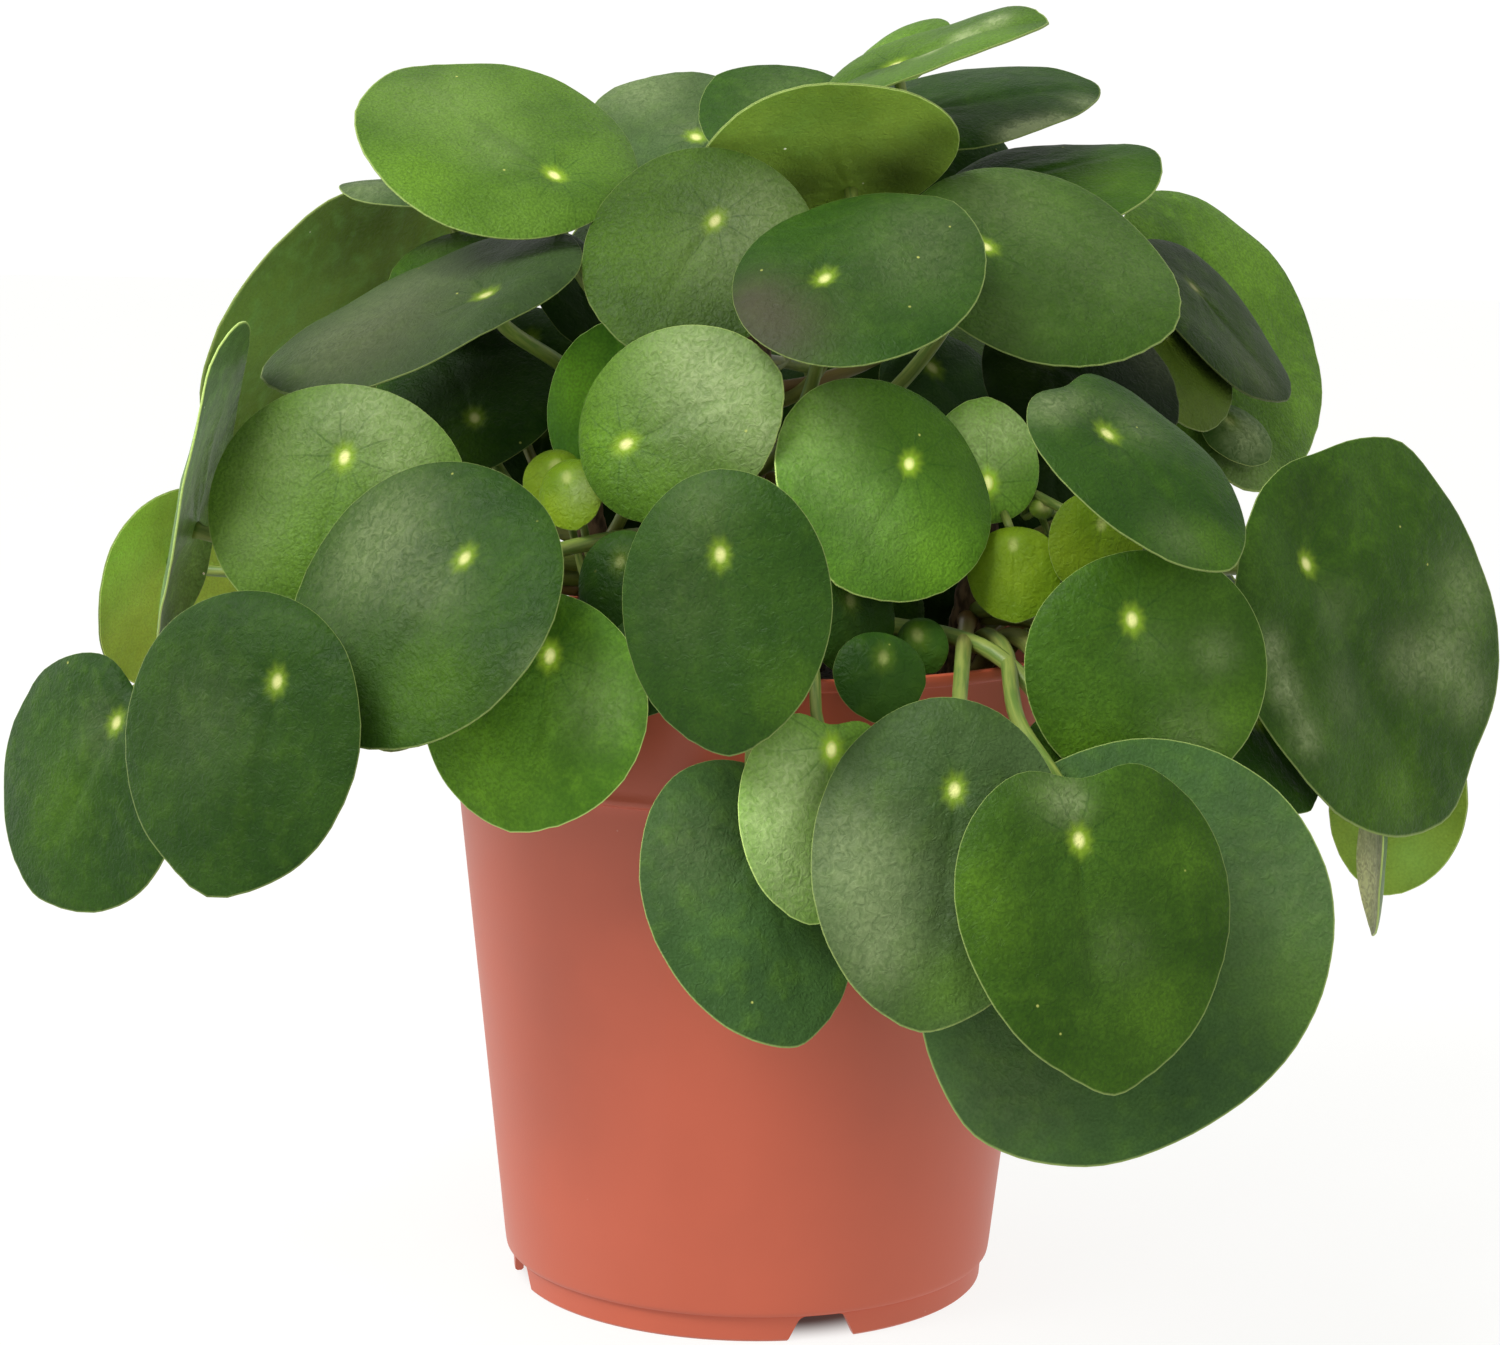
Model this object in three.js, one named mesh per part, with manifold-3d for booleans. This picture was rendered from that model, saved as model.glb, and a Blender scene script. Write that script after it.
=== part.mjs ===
import * as THREE from 'three';
import { mergeVertices } from 'three/addons/utils/BufferGeometryUtils.js';
import Module from 'manifold-3d';

// A potted Chinese money plant (Pilea peperomioides) in a moulded nursery pot.
// Millimetres, +Z up. The origin is on the ground at the middle of the pot's foot ring,
// and -Y is the front of the plant.

const wasm = await Module();
wasm.setup();

// ---- driving dimensions -------------------------------------------------------------

const POT_HEIGHT = 155;
const POT_RIM_RADIUS = 75;
const POT_BAND_BOTTOM = 125;
const POT_BODY_TOP_RADIUS = 71;
const POT_BODY_BOTTOM = 7;
const POT_BODY_BOTTOM_RADIUS = 58.4;
const POT_FOOT_RADIUS = 56.4;
const POT_WALL = 1.6;
const POT_SEGMENTS = 36;

const NOTCH_AZIMUTHS = [18, 108, 198, 288];
const NOTCH_TOP_WIDTH = 10.5;
const NOTCH_BOTTOM_WIDTH = 17;
const NOTCH_HEIGHT = 6.4;
const DRAIN_HOLE_RADIUS = 5;
const DRAIN_HOLE_DISTANCE = 40;

const SOIL_LEVEL = 142;
const SOIL_LUMP = 1.6;
const ROOT_DEPTH = 26;
const STEM_HOLE_GAP = 1.4;
const STEM_TAPER = 0.3;
const SCAR_DEPTH = 0.08;
const TOUCH_GAP = 0.3;

const BLADE_THICKNESS = 0.9;
const HUB_BOSS = 1.3;
const HUB_AT = 0.3;
const LEAF_CUP = -2;
const WAVE_HEIGHT = 0.012;
const TIP_POINT = 0.015;
const TIP_SPREAD = 0.25;
const NOTCH_SPREAD = 0.3;
const EGG_SHAPE = 0.06;
const PETIOLE_SIDES = 5;
const PETIOLE_STEPS = 6;
const PETIOLE_BASE_RADIUS = 0.7;
const PETIOLE_RADIUS_PER_LENGTH = 0.014;
const STALK_START = 4;
const STALK_END = 7;
const RIM_CLEARANCE = 2;
const HIGH_LEAF = 40;

const TERRACOTTA = 0xbe6048;
const SOIL_BROWN = 0x2e2018;
const BARK_BROWN = 0x6b5138;
const GREEN = {
  mid: 0x4f7a2c, dark: 0x35592c, deep: 0x2c4a2a, light: 0x5f8f33, grey: 0x466640,
  olive: 0x6d7d2c, young: 0x86a52a,
};

// The three woody stems: where each leaves the soil, where its top bud is, and how thick it is.
const STEMS = {
  main: { foot: [-6, 6], top: [-2, 8, 232], radius: 6.5 },
  left: { foot: [-36, -6], top: [-40, -8, 186], radius: 5 },
  right: { foot: [46, -10], top: [52, -14, 180], radius: 5 },
};

// One entry for each large leaf. hub is where the stalk meets the blade, face is the way
// that the upper side looks (azimuth from the front towards +X, then elevation), tip is how
// far the tip is turned from straight down the blade towards +X as seen from the front of
// the blade, and size is its length and width. Where given, hubAt is the hub's share of the
// length, side is how far the blade's middle lies beside the hub, fold lifts the two sides,
// notch is the depth of the cleft behind the hub, lift raises the stalk over the rim, rootAt
// is the height of its root, and via are places that it bends through.
const LEAVES = [
  {
    name: 'top_left', stem: 'main', tone: 'light', size: [70, 63], tip: -150,
    hub: [-48, -9, 261], face: [18, 55], hubAt: 0.24, side: 3,
  },
  {
    name: 'top_back_left', stem: 'main', tone: 'grey', size: [50, 49], tip: -132,
    hub: [-17, 50, 270], face: [-11, 54],
  },
  {
    name: 'top_back_dark', stem: 'main', tone: 'dark', size: [40, 37], tip: -130,
    hub: [6, 32, 273], face: [-5, 46], hubAt: 0.32, side: -2,
  },
  {
    name: 'top_underside', stem: 'main', tone: 'olive', size: [50, 62], tip: 160,
    hub: [20, 12, 259], face: [-170, 50], hubAt: 0.17, side: -3,
  },
  {
    name: 'top_back_bright', stem: 'main', tone: 'light', size: [32, 33], tip: 180,
    hub: [29, 98, 289], face: [-54, 50], rootAt: 214,
  },
  {
    name: 'top_right_tip', stem: 'main', tone: 'light', size: [59, 44], tip: 135,
    hub: [30, 28, 288], face: [-59, 62], hubAt: 0.35, side: -2, fold: 4,
  },
  {
    name: 'top_right_gloss', stem: 'main', tone: 'dark', size: [66, 47], tip: 116,
    hub: [36, 50, 277], face: [-13, 65], hubAt: 0.27, side: 3,
  },
  {
    name: 'top_right_dark', stem: 'main', tone: 'dark', size: [57, 50], tip: 134,
    hub: [57, 36, 259], face: [-24, 63], side: -3,
  },
  {
    name: 'upper_right', stem: 'main', tone: 'mid', size: [68, 59], tip: 51,
    hub: [50, -15, 247], face: [12, 48], hubAt: 0.31, side: 5,
  },
  {
    name: 'centre_dark', stem: 'main', tone: 'dark', size: [60, 53], tip: 145,
    hub: [13, -50, 240], face: [-10, 50], hubAt: 0.37, side: -4,
  },
  {
    name: 'centre_top', stem: 'main', tone: 'light', size: [55, 53], tip: -23,
    hub: [-11, -26, 252], face: [-11, 33], hubAt: 0.35, side: -1,
  },
  {
    name: 'centre_pale', stem: 'left', tone: 'light', size: [50, 44], tip: 118,
    hub: [-30, -50, 203], face: [-22, 17], hubAt: 0.24,
  },
  {
    name: 'behind_pale', stem: 'main', tone: 'dark', size: [40, 36], tip: -173,
    hub: [-33, -16, 201], face: [-19, 9], rootAt: 160,
    via: [[-22, -10, 180]],
  },
  {
    name: 'centre_right', stem: 'main', tone: 'mid', size: [53, 53], tip: -38,
    hub: [33, -48, 200], face: [28, 27], hubAt: 0.34, side: -2,
  },
  {
    name: 'shade_centre', stem: 'main', tone: 'deep', size: [36, 32], tip: 30,
    hub: [41, 32, 216], face: [20, 35], rootAt: 198,
  },
  {
    name: 'left_oblique', stem: 'main', tone: 'grey', size: [78, 55], tip: -38,
    hub: [-62, -31, 235], face: [-42, 59], hubAt: 0.31, side: -10, rootAt: 170,
    via: [[-30, 4, 203], [-46, 3, 216]],
  },
  {
    name: 'left_shade', stem: 'left', tone: 'dark', size: [48, 46], tip: -149,
    hub: [-67, 0, 204], face: [-13, 43],
  },
  {
    name: 'left_back_under', stem: 'left', tone: 'olive', size: [87, 78], tip: 59,
    hub: [-93, 75, 220], face: [-130, 23], side: 12,
  },
  {
    name: 'left_behind', stem: 'left', tone: 'mid', size: [32, 30], tip: -75,
    hub: [-68, 20, 239], face: [-14, 47],
  },
  {
    name: 'left_edge_on', stem: 'main', tone: 'grey', size: [40, 24], tip: -105,
    hub: [-75, 30, 257], face: [6, 77],
    via: [[-70, 52, 228]],
  },
  {
    name: 'left_pale', stem: 'left', tone: 'light', size: [57, 59], tip: -8,
    hub: [-91, -54, 200], face: [-10, 21],
  },
  {
    name: 'left_front', stem: 'main', tone: 'dark', size: [68, 64], tip: -22,
    hub: [-62, -84, 182], face: [-25, 31], side: -4, rootAt: 176,
    via: [[-44, -62, 180]],
  },
  {
    name: 'left_upright', stem: 'left', tone: 'grey', size: [80, 50], tip: 162,
    hub: [-130, -25, 180], face: [-92, 15], side: -9,
  },
  {
    name: 'far_left', stem: 'left', tone: 'dark', size: [60, 59], tip: -28,
    hub: [-144, -42, 138], face: [-36, 10], hubAt: 0.21, notch: 5,
  },
  {
    name: 'far_left_front', stem: 'left', tone: 'dark', size: [65, 59], tip: -4,
    hub: [-100, -97, 157], face: [-26, 14], hubAt: 0.28, side: -8,
    via: [[-99, -78, 146]],
  },
  {
    name: 'far_left_under', stem: 'left', tone: 'olive', size: [50, 48], tip: 3,
    hub: [-140, 5, 169], face: [-126, 13], hubAt: 0.38,
  },
  {
    name: 'front_left_low', stem: 'left', tone: 'mid', size: [52, 52], tip: -6,
    hub: [-44, -82, 161], face: [-18, 10], hubAt: 0.26, side: -3,
  },
  {
    name: 'front_centre', stem: 'main', tone: 'dark', size: [59, 45], tip: 5,
    hub: [-8, -104, 186], face: [-18, 7],
  },
  {
    name: 'front_low_left', stem: 'main', tone: 'deep', size: [64, 45], tip: 12,
    hub: [1, -90, 123], face: [16, 26], hubAt: 0.32, side: -5, lift: 2,
  },
  {
    name: 'front_notched', stem: 'main', tone: 'light', size: [46, 38], tip: -10,
    hub: [16, -94, 144], face: [25, 11], hubAt: 0.2, notch: 4,
  },
  {
    name: 'front_grey', stem: 'right', tone: 'grey', size: [69, 52], tip: -4,
    hub: [41, -110, 139], face: [-4, 19], hubAt: 0.28, side: -2, rootAt: 160.5,
  },
  {
    name: 'front_heart', stem: 'right', tone: 'mid', size: [69, 58], tip: 3,
    hub: [66, -120, 131], face: [14, 17], hubAt: 0.27, notch: 6, rootAt: 155.5, side: 2.5,
    via: [[56, -79, 148], [62, -95, 140]],
  },
  {
    name: 'front_largest', stem: 'right', tone: 'deep', size: [98, 81], tip: -37,
    hub: [80, -92, 114], face: [-6, 15], hubAt: 0.38, side: 7, rootAt: 148,
  },
  {
    name: 'right_mid', stem: 'right', tone: 'mid', size: [54, 53], tip: 9,
    hub: [80, -75, 170], face: [5, 8], hubAt: 0.27, rootAt: 163.5, side: 2,
  },
  {
    name: 'right_notched', stem: 'right', tone: 'dark', size: [59, 41], tip: 18,
    hub: [73, -78, 210], face: [29, 48], hubAt: 0.33, side: 2, notch: 4, rootAt: 177,
    via: [[72, -22, 186], [88, -40, 203]],
  },
  {
    name: 'far_right', stem: 'right', tone: 'mid', size: [95, 81], tip: 29,
    hub: [122, -45, 179], face: [39, 11], hubAt: 0.23, side: 7, fold: 4, rootAt: 167,
  },
  {
    name: 'far_right_under', stem: 'right', tone: 'olive', size: [44, 32], tip: 6,
    hub: [152, -8, 121], face: [164, 8], hubAt: 0.42, rootAt: 156,
  },
  {
    name: 'right_hanging', stem: 'right', tone: 'grey', size: [38, 28], tip: -1,
    hub: [144, -30, 118], face: [90, 2], rootAt: 151,
  },
  {
    name: 'right_low_dark', stem: 'right', tone: 'dark', size: [35, 31], tip: 20,
    hub: [110, -50, 145], face: [41, 35], rootAt: 161,
  },
  {
    name: 'right_back_big', stem: 'main', tone: 'light', size: [89, 62], tip: -10,
    hub: [113, 88, 236], face: [36, 33], hubAt: 0.35, side: 4,
  },
  {
    name: 'right_back_dark', stem: 'main', tone: 'dark', size: [54, 51], tip: 10,
    hub: [106, 48, 236], face: [58, 43], hubAt: 0.33,
  },
  {
    name: 'right_back_olive', stem: 'right', tone: 'olive', size: [38, 35], tip: 0,
    hub: [97, 30, 225], face: [38, 40], rootAt: 173,
  },
  {
    name: 'right_shade', stem: 'main', tone: 'dark', size: [49, 44], tip: 63,
    hub: [66, 2, 220], face: [15, 39],
  },
  {
    name: 'rear_low_left', stem: 'left', tone: 'mid', size: [62, 57], tip: 5,
    hub: [-84, 88, 148], face: [-138, 25],
  },
  {
    name: 'rear_low', stem: 'main', tone: 'dark', size: [68, 62], tip: -5,
    hub: [-18, 116, 142], face: [-172, 22],
  },
  {
    name: 'rear_low_right', stem: 'right', tone: 'mid', size: [64, 58], tip: 5,
    hub: [56, 106, 150], face: [155, 25], rootAt: 152,
  },
  {
    name: 'rear_far_right', stem: 'right', tone: 'dark', size: [58, 54], tip: -5,
    hub: [110, 76, 160], face: [125, 28], rootAt: 156,
  },
  {
    name: 'rear_side_right', stem: 'right', tone: 'mid', size: [52, 46], tip: 5,
    hub: [136, 18, 146], face: [92, 22], rootAt: 161,
  },
  {
    name: 'rear_side_left', stem: 'left', tone: 'mid', size: [56, 52], tip: 5,
    hub: [-128, 48, 150], face: [-108, 25],
  },
  {
    name: 'rear_mid', stem: 'main', tone: 'mid', size: [64, 58], tip: 5,
    hub: [-12, 104, 208], face: [176, 38],
  },
  {
    name: 'rear_mid_right', stem: 'main', tone: 'light', size: [56, 50], tip: 5,
    hub: [50, 98, 214], face: [152, 40],
  },
  {
    name: 'rear_top', stem: 'main', tone: 'mid', size: [52, 46], tip: 5,
    hub: [-26, 84, 250], face: [-160, 58],
  },
];

// Short side shoots, each with a few young leaves of its own. A shoot with a base is the crown
// that stands on the top of a stem at that height, and the others stand in the soil.
const SHOOTS = [
  {
    name: 'shoot_front',
    foot: [34, -42],
    top: [34, -44, 156],
    radius: 2.6,
    leaves: [
      { hub: [20, -60, 171], face: [25, 10], tip: 10, size: [25, 22] },
      { hub: [27, -77, 161], face: [10, 25], tip: -10, size: [20, 20] },
      { hub: [35, -56, 163], face: [-10, 20], tip: 30, size: [13, 11] },
    ],
  },
  {
    name: 'crown_right',
    foot: [52, -14],
    base: 186.4,
    top: [53, -16, 194],
    radius: 3.4,
    leaves: [
      { hub: [51, -35, 194], face: [15, 15], tip: 175, size: [29, 26] },
      { hub: [56, -44, 184], face: [-10, 20], tip: 5, size: [20, 19] },
      { hub: [76, -44, 187], face: [15, 15], tip: -10, size: [25, 22] },
    ],
  },
  {
    name: 'shoot_left',
    foot: [-24, -34],
    top: [-25, -37, 160],
    radius: 3,
    leaves: [
      { hub: [-43, -42, 195], face: [-20, 30], tip: 20, size: [18, 15] },
      { hub: [-46, -34, 197], face: [-10, 30], tip: -20, size: [15, 13] },
      { hub: [-30, -62, 179], face: [-20, 20], tip: 0, size: [24, 20] },
      { hub: [-24, -78, 163], face: [-10, 20], tip: 0, size: [22, 19] },
    ],
  },
];

// ---- helpers ------------------------------------------------------------------------

const rad = THREE.MathUtils.degToRad;

/** A geometry as a closed solid, with its shared vertices merged. */
function solidOf(geometry) {
  const bare = new THREE.BufferGeometry();
  bare.setAttribute('position', geometry.getAttribute('position').clone());
  if (geometry.index) bare.setIndex(geometry.index.clone());
  const merged = mergeVertices(bare, 1e-4);
  const vertProperties = Float32Array.from(merged.getAttribute('position').array);
  const triVerts = Uint32Array.from(merged.index.array);
  const solid = new wasm.Manifold(new wasm.Mesh({ numProp: 3, vertProperties, triVerts }));
  if (solid.volume() >= 0) return solid;
  for (let i = 0; i < triVerts.length; i += 3) {
    [triVerts[i], triVerts[i + 1]] = [triVerts[i + 1], triVerts[i]];
  }
  return new wasm.Manifold(new wasm.Mesh({ numProp: 3, vertProperties, triVerts }));
}

/** A closed solid as a geometry. */
function geometryOf(solid) {
  const mesh = solid.getMesh();
  const geometry = new THREE.BufferGeometry();
  geometry.setAttribute('position', new THREE.BufferAttribute(new Float32Array(mesh.vertProperties), 3));
  geometry.setIndex(new THREE.BufferAttribute(new Uint32Array(mesh.triVerts), 1));
  geometry.computeVertexNormals();
  return geometry;
}

function named(name, geometry, color, roughness) {
  const material = new THREE.MeshStandardMaterial({ color, roughness, metalness: 0 });
  const mesh = new THREE.Mesh(geometry, material);
  mesh.name = name;
  return mesh;
}

/** A lathe turned about +Z from [radius, height] points. */
function turned(points, segments) {
  const profile = points.map(([r, z]) => new THREE.Vector2(r, z));
  return new THREE.LatheGeometry(profile, segments).rotateX(Math.PI / 2);
}

// ---- pot ----------------------------------------------------------------------------

/** Outer radius of the pot's tapering body at a height. */
function bodyRadius(z) {
  const t = (z - POT_BODY_BOTTOM) / (POT_BAND_BOTTOM - POT_BODY_BOTTOM);
  return POT_BODY_BOTTOM_RADIUS + t * (POT_BODY_TOP_RADIUS - POT_BODY_BOTTOM_RADIUS);
}

function buildPot() {
  const inner = (z) => bodyRadius(z) - POT_WALL;
  const floor = POT_BODY_BOTTOM + 1;
  const shell = solidOf(turned([
    [0, POT_BODY_BOTTOM - 1],
    [POT_FOOT_RADIUS - 2, POT_BODY_BOTTOM - 1],
    [POT_FOOT_RADIUS - 2, 0],
    [POT_FOOT_RADIUS, 0],
    [POT_FOOT_RADIUS + 0.5, POT_BODY_BOTTOM - 0.6],
    [POT_BODY_BOTTOM_RADIUS - 0.6, POT_BODY_BOTTOM - 0.4],
    [POT_BODY_BOTTOM_RADIUS, POT_BODY_BOTTOM + 0.6],
    [POT_BODY_TOP_RADIUS, POT_BAND_BOTTOM],
    [POT_BODY_TOP_RADIUS + 2, POT_BAND_BOTTOM + 0.4],
    [POT_BODY_TOP_RADIUS + 2.2, POT_BAND_BOTTOM + 2],
    [POT_RIM_RADIUS - 0.6, POT_HEIGHT - 2.6],
    [POT_RIM_RADIUS, POT_HEIGHT - 2.2],
    [POT_RIM_RADIUS, POT_HEIGHT - 0.6],
    [POT_RIM_RADIUS - 0.7, POT_HEIGHT],
    [POT_RIM_RADIUS - 2.4, POT_HEIGHT],
    [POT_BODY_TOP_RADIUS + 0.3, POT_BAND_BOTTOM + 1.8],
    [inner(POT_BAND_BOTTOM), POT_BAND_BOTTOM],
    [inner(floor), floor],
    [0, floor],
  ], POT_SEGMENTS));

  const half = NOTCH_BOTTOM_WIDTH / 2;
  const shape = new THREE.Shape();
  shape.moveTo(-half, -1);
  shape.lineTo(half, -1);
  shape.lineTo(half, 0);
  shape.lineTo(NOTCH_TOP_WIDTH / 2, NOTCH_HEIGHT - 0.6);
  shape.lineTo(-NOTCH_TOP_WIDTH / 2, NOTCH_HEIGHT - 0.6);
  shape.lineTo(-half, 0);
  const notch = new THREE.ExtrudeGeometry(shape, { depth: 12, bevelEnabled: false });
  notch.rotateX(Math.PI / 2).translate(0, -POT_FOOT_RADIUS + 8, 0);

  const drain = new THREE.CylinderGeometry(DRAIN_HOLE_RADIUS, DRAIN_HOLE_RADIUS, 8, 10);
  drain.rotateX(Math.PI / 2).translate(0, -DRAIN_HOLE_DISTANCE, floor);

  let pot = shell;
  for (const azimuth of NOTCH_AZIMUTHS) {
    pot = pot.subtract(solidOf(notch.clone().rotateZ(rad(azimuth))));
    pot = pot.subtract(solidOf(drain.clone().rotateZ(rad(azimuth))));
  }
  return named('pot', geometryOf(pot), TERRACOTTA, 0.55);
}

// ---- soil ---------------------------------------------------------------------------

function soilHeight(x, y) {
  return SOIL_LEVEL + SOIL_LUMP * Math.sin(x * 0.16 + 1) * Math.cos(y * 0.19 - 0.6);
}

function buildSoil() {
  const fit = (z) => bodyRadius(z) - POT_WALL - TOUCH_GAP;
  const floor = POT_BODY_BOTTOM + 1 + TOUCH_GAP;
  const edge = POT_BODY_TOP_RADIUS + 0.6;
  const geometry = turned([
    [0, floor],
    [fit(floor), floor],
    [fit(POT_BAND_BOTTOM), POT_BAND_BOTTOM],
    [edge, SOIL_LEVEL - 1],
    [62, SOIL_LEVEL],
    [46, SOIL_LEVEL],
    [30, SOIL_LEVEL],
    [15, SOIL_LEVEL],
    [0, SOIL_LEVEL],
  ], 24);
  const position = geometry.getAttribute('position');
  for (let i = 0; i < position.count; i += 1) {
    if (position.getZ(i) < SOIL_LEVEL - 0.5) continue;
    position.setZ(i, soilHeight(position.getX(i), position.getY(i)));
  }
  let soil = solidOf(geometry);
  for (const stem of [...Object.values(STEMS), ...SHOOTS].filter((each) => !each.base)) {
    const radius = stem.radius + STEM_HOLE_GAP;
    const hole = new THREE.CylinderGeometry(radius, radius, 2 * ROOT_DEPTH + 1, 12);
    hole.rotateX(Math.PI / 2).translate(stem.foot[0], stem.foot[1], SOIL_LEVEL);
    soil = soil.subtract(solidOf(hole));
  }
  return named('soil', geometryOf(soil), SOIL_BROWN, 0.95);
}

// ---- stems --------------------------------------------------------------------------

/** The middle of a stem at a height. */
function stemAxis(stem, z) {
  const t = (z - SOIL_LEVEL) / (stem.top[2] - SOIL_LEVEL);
  const bend = Math.max(0, t);
  const x = THREE.MathUtils.lerp(stem.foot[0], stem.top[0], bend);
  const y = THREE.MathUtils.lerp(stem.foot[1], stem.top[1], bend);
  return new THREE.Vector3(x, y, z);
}

/** Thickness of a stem at a height: it narrows towards its top bud. */
function stemRadius(stem, z) {
  const t = THREE.MathUtils.clamp((z - SOIL_LEVEL) / (stem.top[2] - SOIL_LEVEL), 0, 1);
  return stem.radius * (1 - STEM_TAPER * t);
}

/** A stem as a lathe with a ridge at each old leaf scar, leaned over from foot to top. */
function stemGeometry(stem, rings, sides) {
  const foot = stem.base ?? SOIL_LEVEL - ROOT_DEPTH;
  const points = [[0, foot], [stem.radius * 0.55, foot]];
  for (let i = 1; i <= rings; i += 1) {
    const z = THREE.MathUtils.lerp(foot + 0.6 * stem.radius, stem.top[2], i / rings);
    const scar = i % 2 === 0 ? 0 : -SCAR_DEPTH * stem.radius;
    points.push([stemRadius(stem, z) + scar, z]);
  }
  points.push([stemRadius(stem, stem.top[2]) * 0.55, stem.top[2] + 4]);
  points.push([0, stem.top[2] + 6]);
  const geometry = turned(points, sides);
  const position = geometry.getAttribute('position');
  for (let i = 0; i < position.count; i += 1) {
    const middle = stemAxis(stem, position.getZ(i));
    position.setX(i, position.getX(i) + middle.x);
    position.setY(i, position.getY(i) + middle.y);
  }
  return geometry;
}

function buildStem(name, stem) {
  return named(`stem_${name}`, geometryOf(solidOf(stemGeometry(stem, 14, 10))), BARK_BROWN, 0.85);
}

// ---- leaves -------------------------------------------------------------------------

/** The three directions of a blade: out of its face, towards its tip, and across it. */
function bladeFrame(leaf) {
  const [azimuth, elevation] = leaf.face.map(rad);
  const out = new THREE.Vector3(
    Math.sin(azimuth) * Math.cos(elevation),
    -Math.cos(azimuth) * Math.cos(elevation),
    Math.sin(elevation),
  );
  const up = new THREE.Vector3(0, 0, 1).addScaledVector(out, -out.z).normalize();
  const right = new THREE.Vector3().crossVectors(up, out);
  const turn = rad(leaf.tip);
  const tip = new THREE.Vector3()
    .addScaledVector(up, -Math.cos(turn))
    .addScaledVector(right, Math.sin(turn));
  const across = new THREE.Vector3().crossVectors(out, tip);
  return { out, tip, across };
}

/** The blade's edge at an angle from its tip, as [along the tip, across] from the hub. */
function bladeEdge(leaf, angle) {
  const [length, width] = leaf.size;
  const turn = Math.abs(Math.atan2(Math.sin(angle), Math.cos(angle)));
  const point = TIP_POINT * length * Math.exp(-((turn / TIP_SPREAD) ** 2));
  const cleft = (leaf.notch ?? 0) * Math.exp(-(((Math.PI - turn) / NOTCH_SPREAD) ** 2));
  const middle = (0.5 - (leaf.hubAt ?? HUB_AT)) * length;
  const half = (0.5 - TIP_POINT / 2) * length;
  const along = middle + half * Math.cos(angle) + point + cleft;
  const egg = 1 - EGG_SHAPE * Math.cos(angle);
  const across = (leaf.side ?? 0) + 0.5 * width * Math.sin(angle) * egg;
  return [along, across];
}

/** How far the blade's middle surface stands out of its plane. */
function bladeRise(leaf, angle, reach) {
  const [length, width] = leaf.size;
  const [along, across] = bladeEdge(leaf, angle);
  const side = Math.abs(across * reach) / (width / 2);
  const cup = LEAF_CUP * reach * reach;
  const fold = (leaf.fold ?? 0) * side;
  const wave = WAVE_HEIGHT * length * reach * reach * Math.cos(3 * angle + along + leaf.hub[0]);
  return cup + fold + wave;
}

/** A blade as a closed thin solid: two faces split alike, joined round the edge. */
function buildBlade(leaf) {
  const { out, tip, across } = bladeFrame(leaf);
  const hub = new THREE.Vector3(...leaf.hub);
  const small = leaf.size[0] < 30;
  const sides = small ? 10 : leaf.size[0] > 60 ? 18 : 14;
  const reaches = small ? [1] : [0.55, 1];
  const positions = [];
  const index = [];
  for (const face of [1, -1]) {
    const lift = face * BLADE_THICKNESS / 2;
    const middle = hub.clone().addScaledVector(out, face > 0 ? lift : lift - HUB_BOSS);
    positions.push(...middle.toArray());
    for (const reach of reaches) {
      for (let i = 0; i < sides; i += 1) {
        const angle = (i / sides) * Math.PI * 2;
        const [u, v] = bladeEdge(leaf, angle);
        const place = hub.clone()
          .addScaledVector(tip, u * reach)
          .addScaledVector(across, v * reach)
          .addScaledVector(out, bladeRise(leaf, angle, reach) + lift);
        positions.push(...place.toArray());
      }
    }
  }
  const perFace = 1 + reaches.length * sides;
  const add = (a, b, c, flip) => index.push(...(flip ? [a, c, b] : [a, b, c]));
  for (const start of [0, perFace]) {
    const flip = start > 0;
    for (let i = 0; i < sides; i += 1) {
      const j = (i + 1) % sides;
      add(start, start + 1 + i, start + 1 + j, flip);
      for (let ring = 1; ring < reaches.length; ring += 1) {
        const outer = start + 1 + ring * sides;
        const inner = outer - sides;
        add(inner + i, outer + i, outer + j, flip);
        add(inner + i, outer + j, inner + j, flip);
      }
    }
  }
  const topEdge = perFace - sides;
  const underEdge = perFace + topEdge;
  for (let i = 0; i < sides; i += 1) {
    const j = (i + 1) % sides;
    add(topEdge + i, underEdge + i, underEdge + j, false);
    add(topEdge + i, underEdge + j, topEdge + j, false);
  }
  const geometry = new THREE.BufferGeometry();
  geometry.setAttribute('position', new THREE.Float32BufferAttribute(positions, 3));
  geometry.setIndex(index);
  return geometry;
}

/** Thickness of a leaf's stalk: larger leaves have thicker stalks. */
function petioleRadius(leaf) {
  return PETIOLE_BASE_RADIUS + leaf.size[0] * PETIOLE_RADIUS_PER_LENGTH;
}

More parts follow.
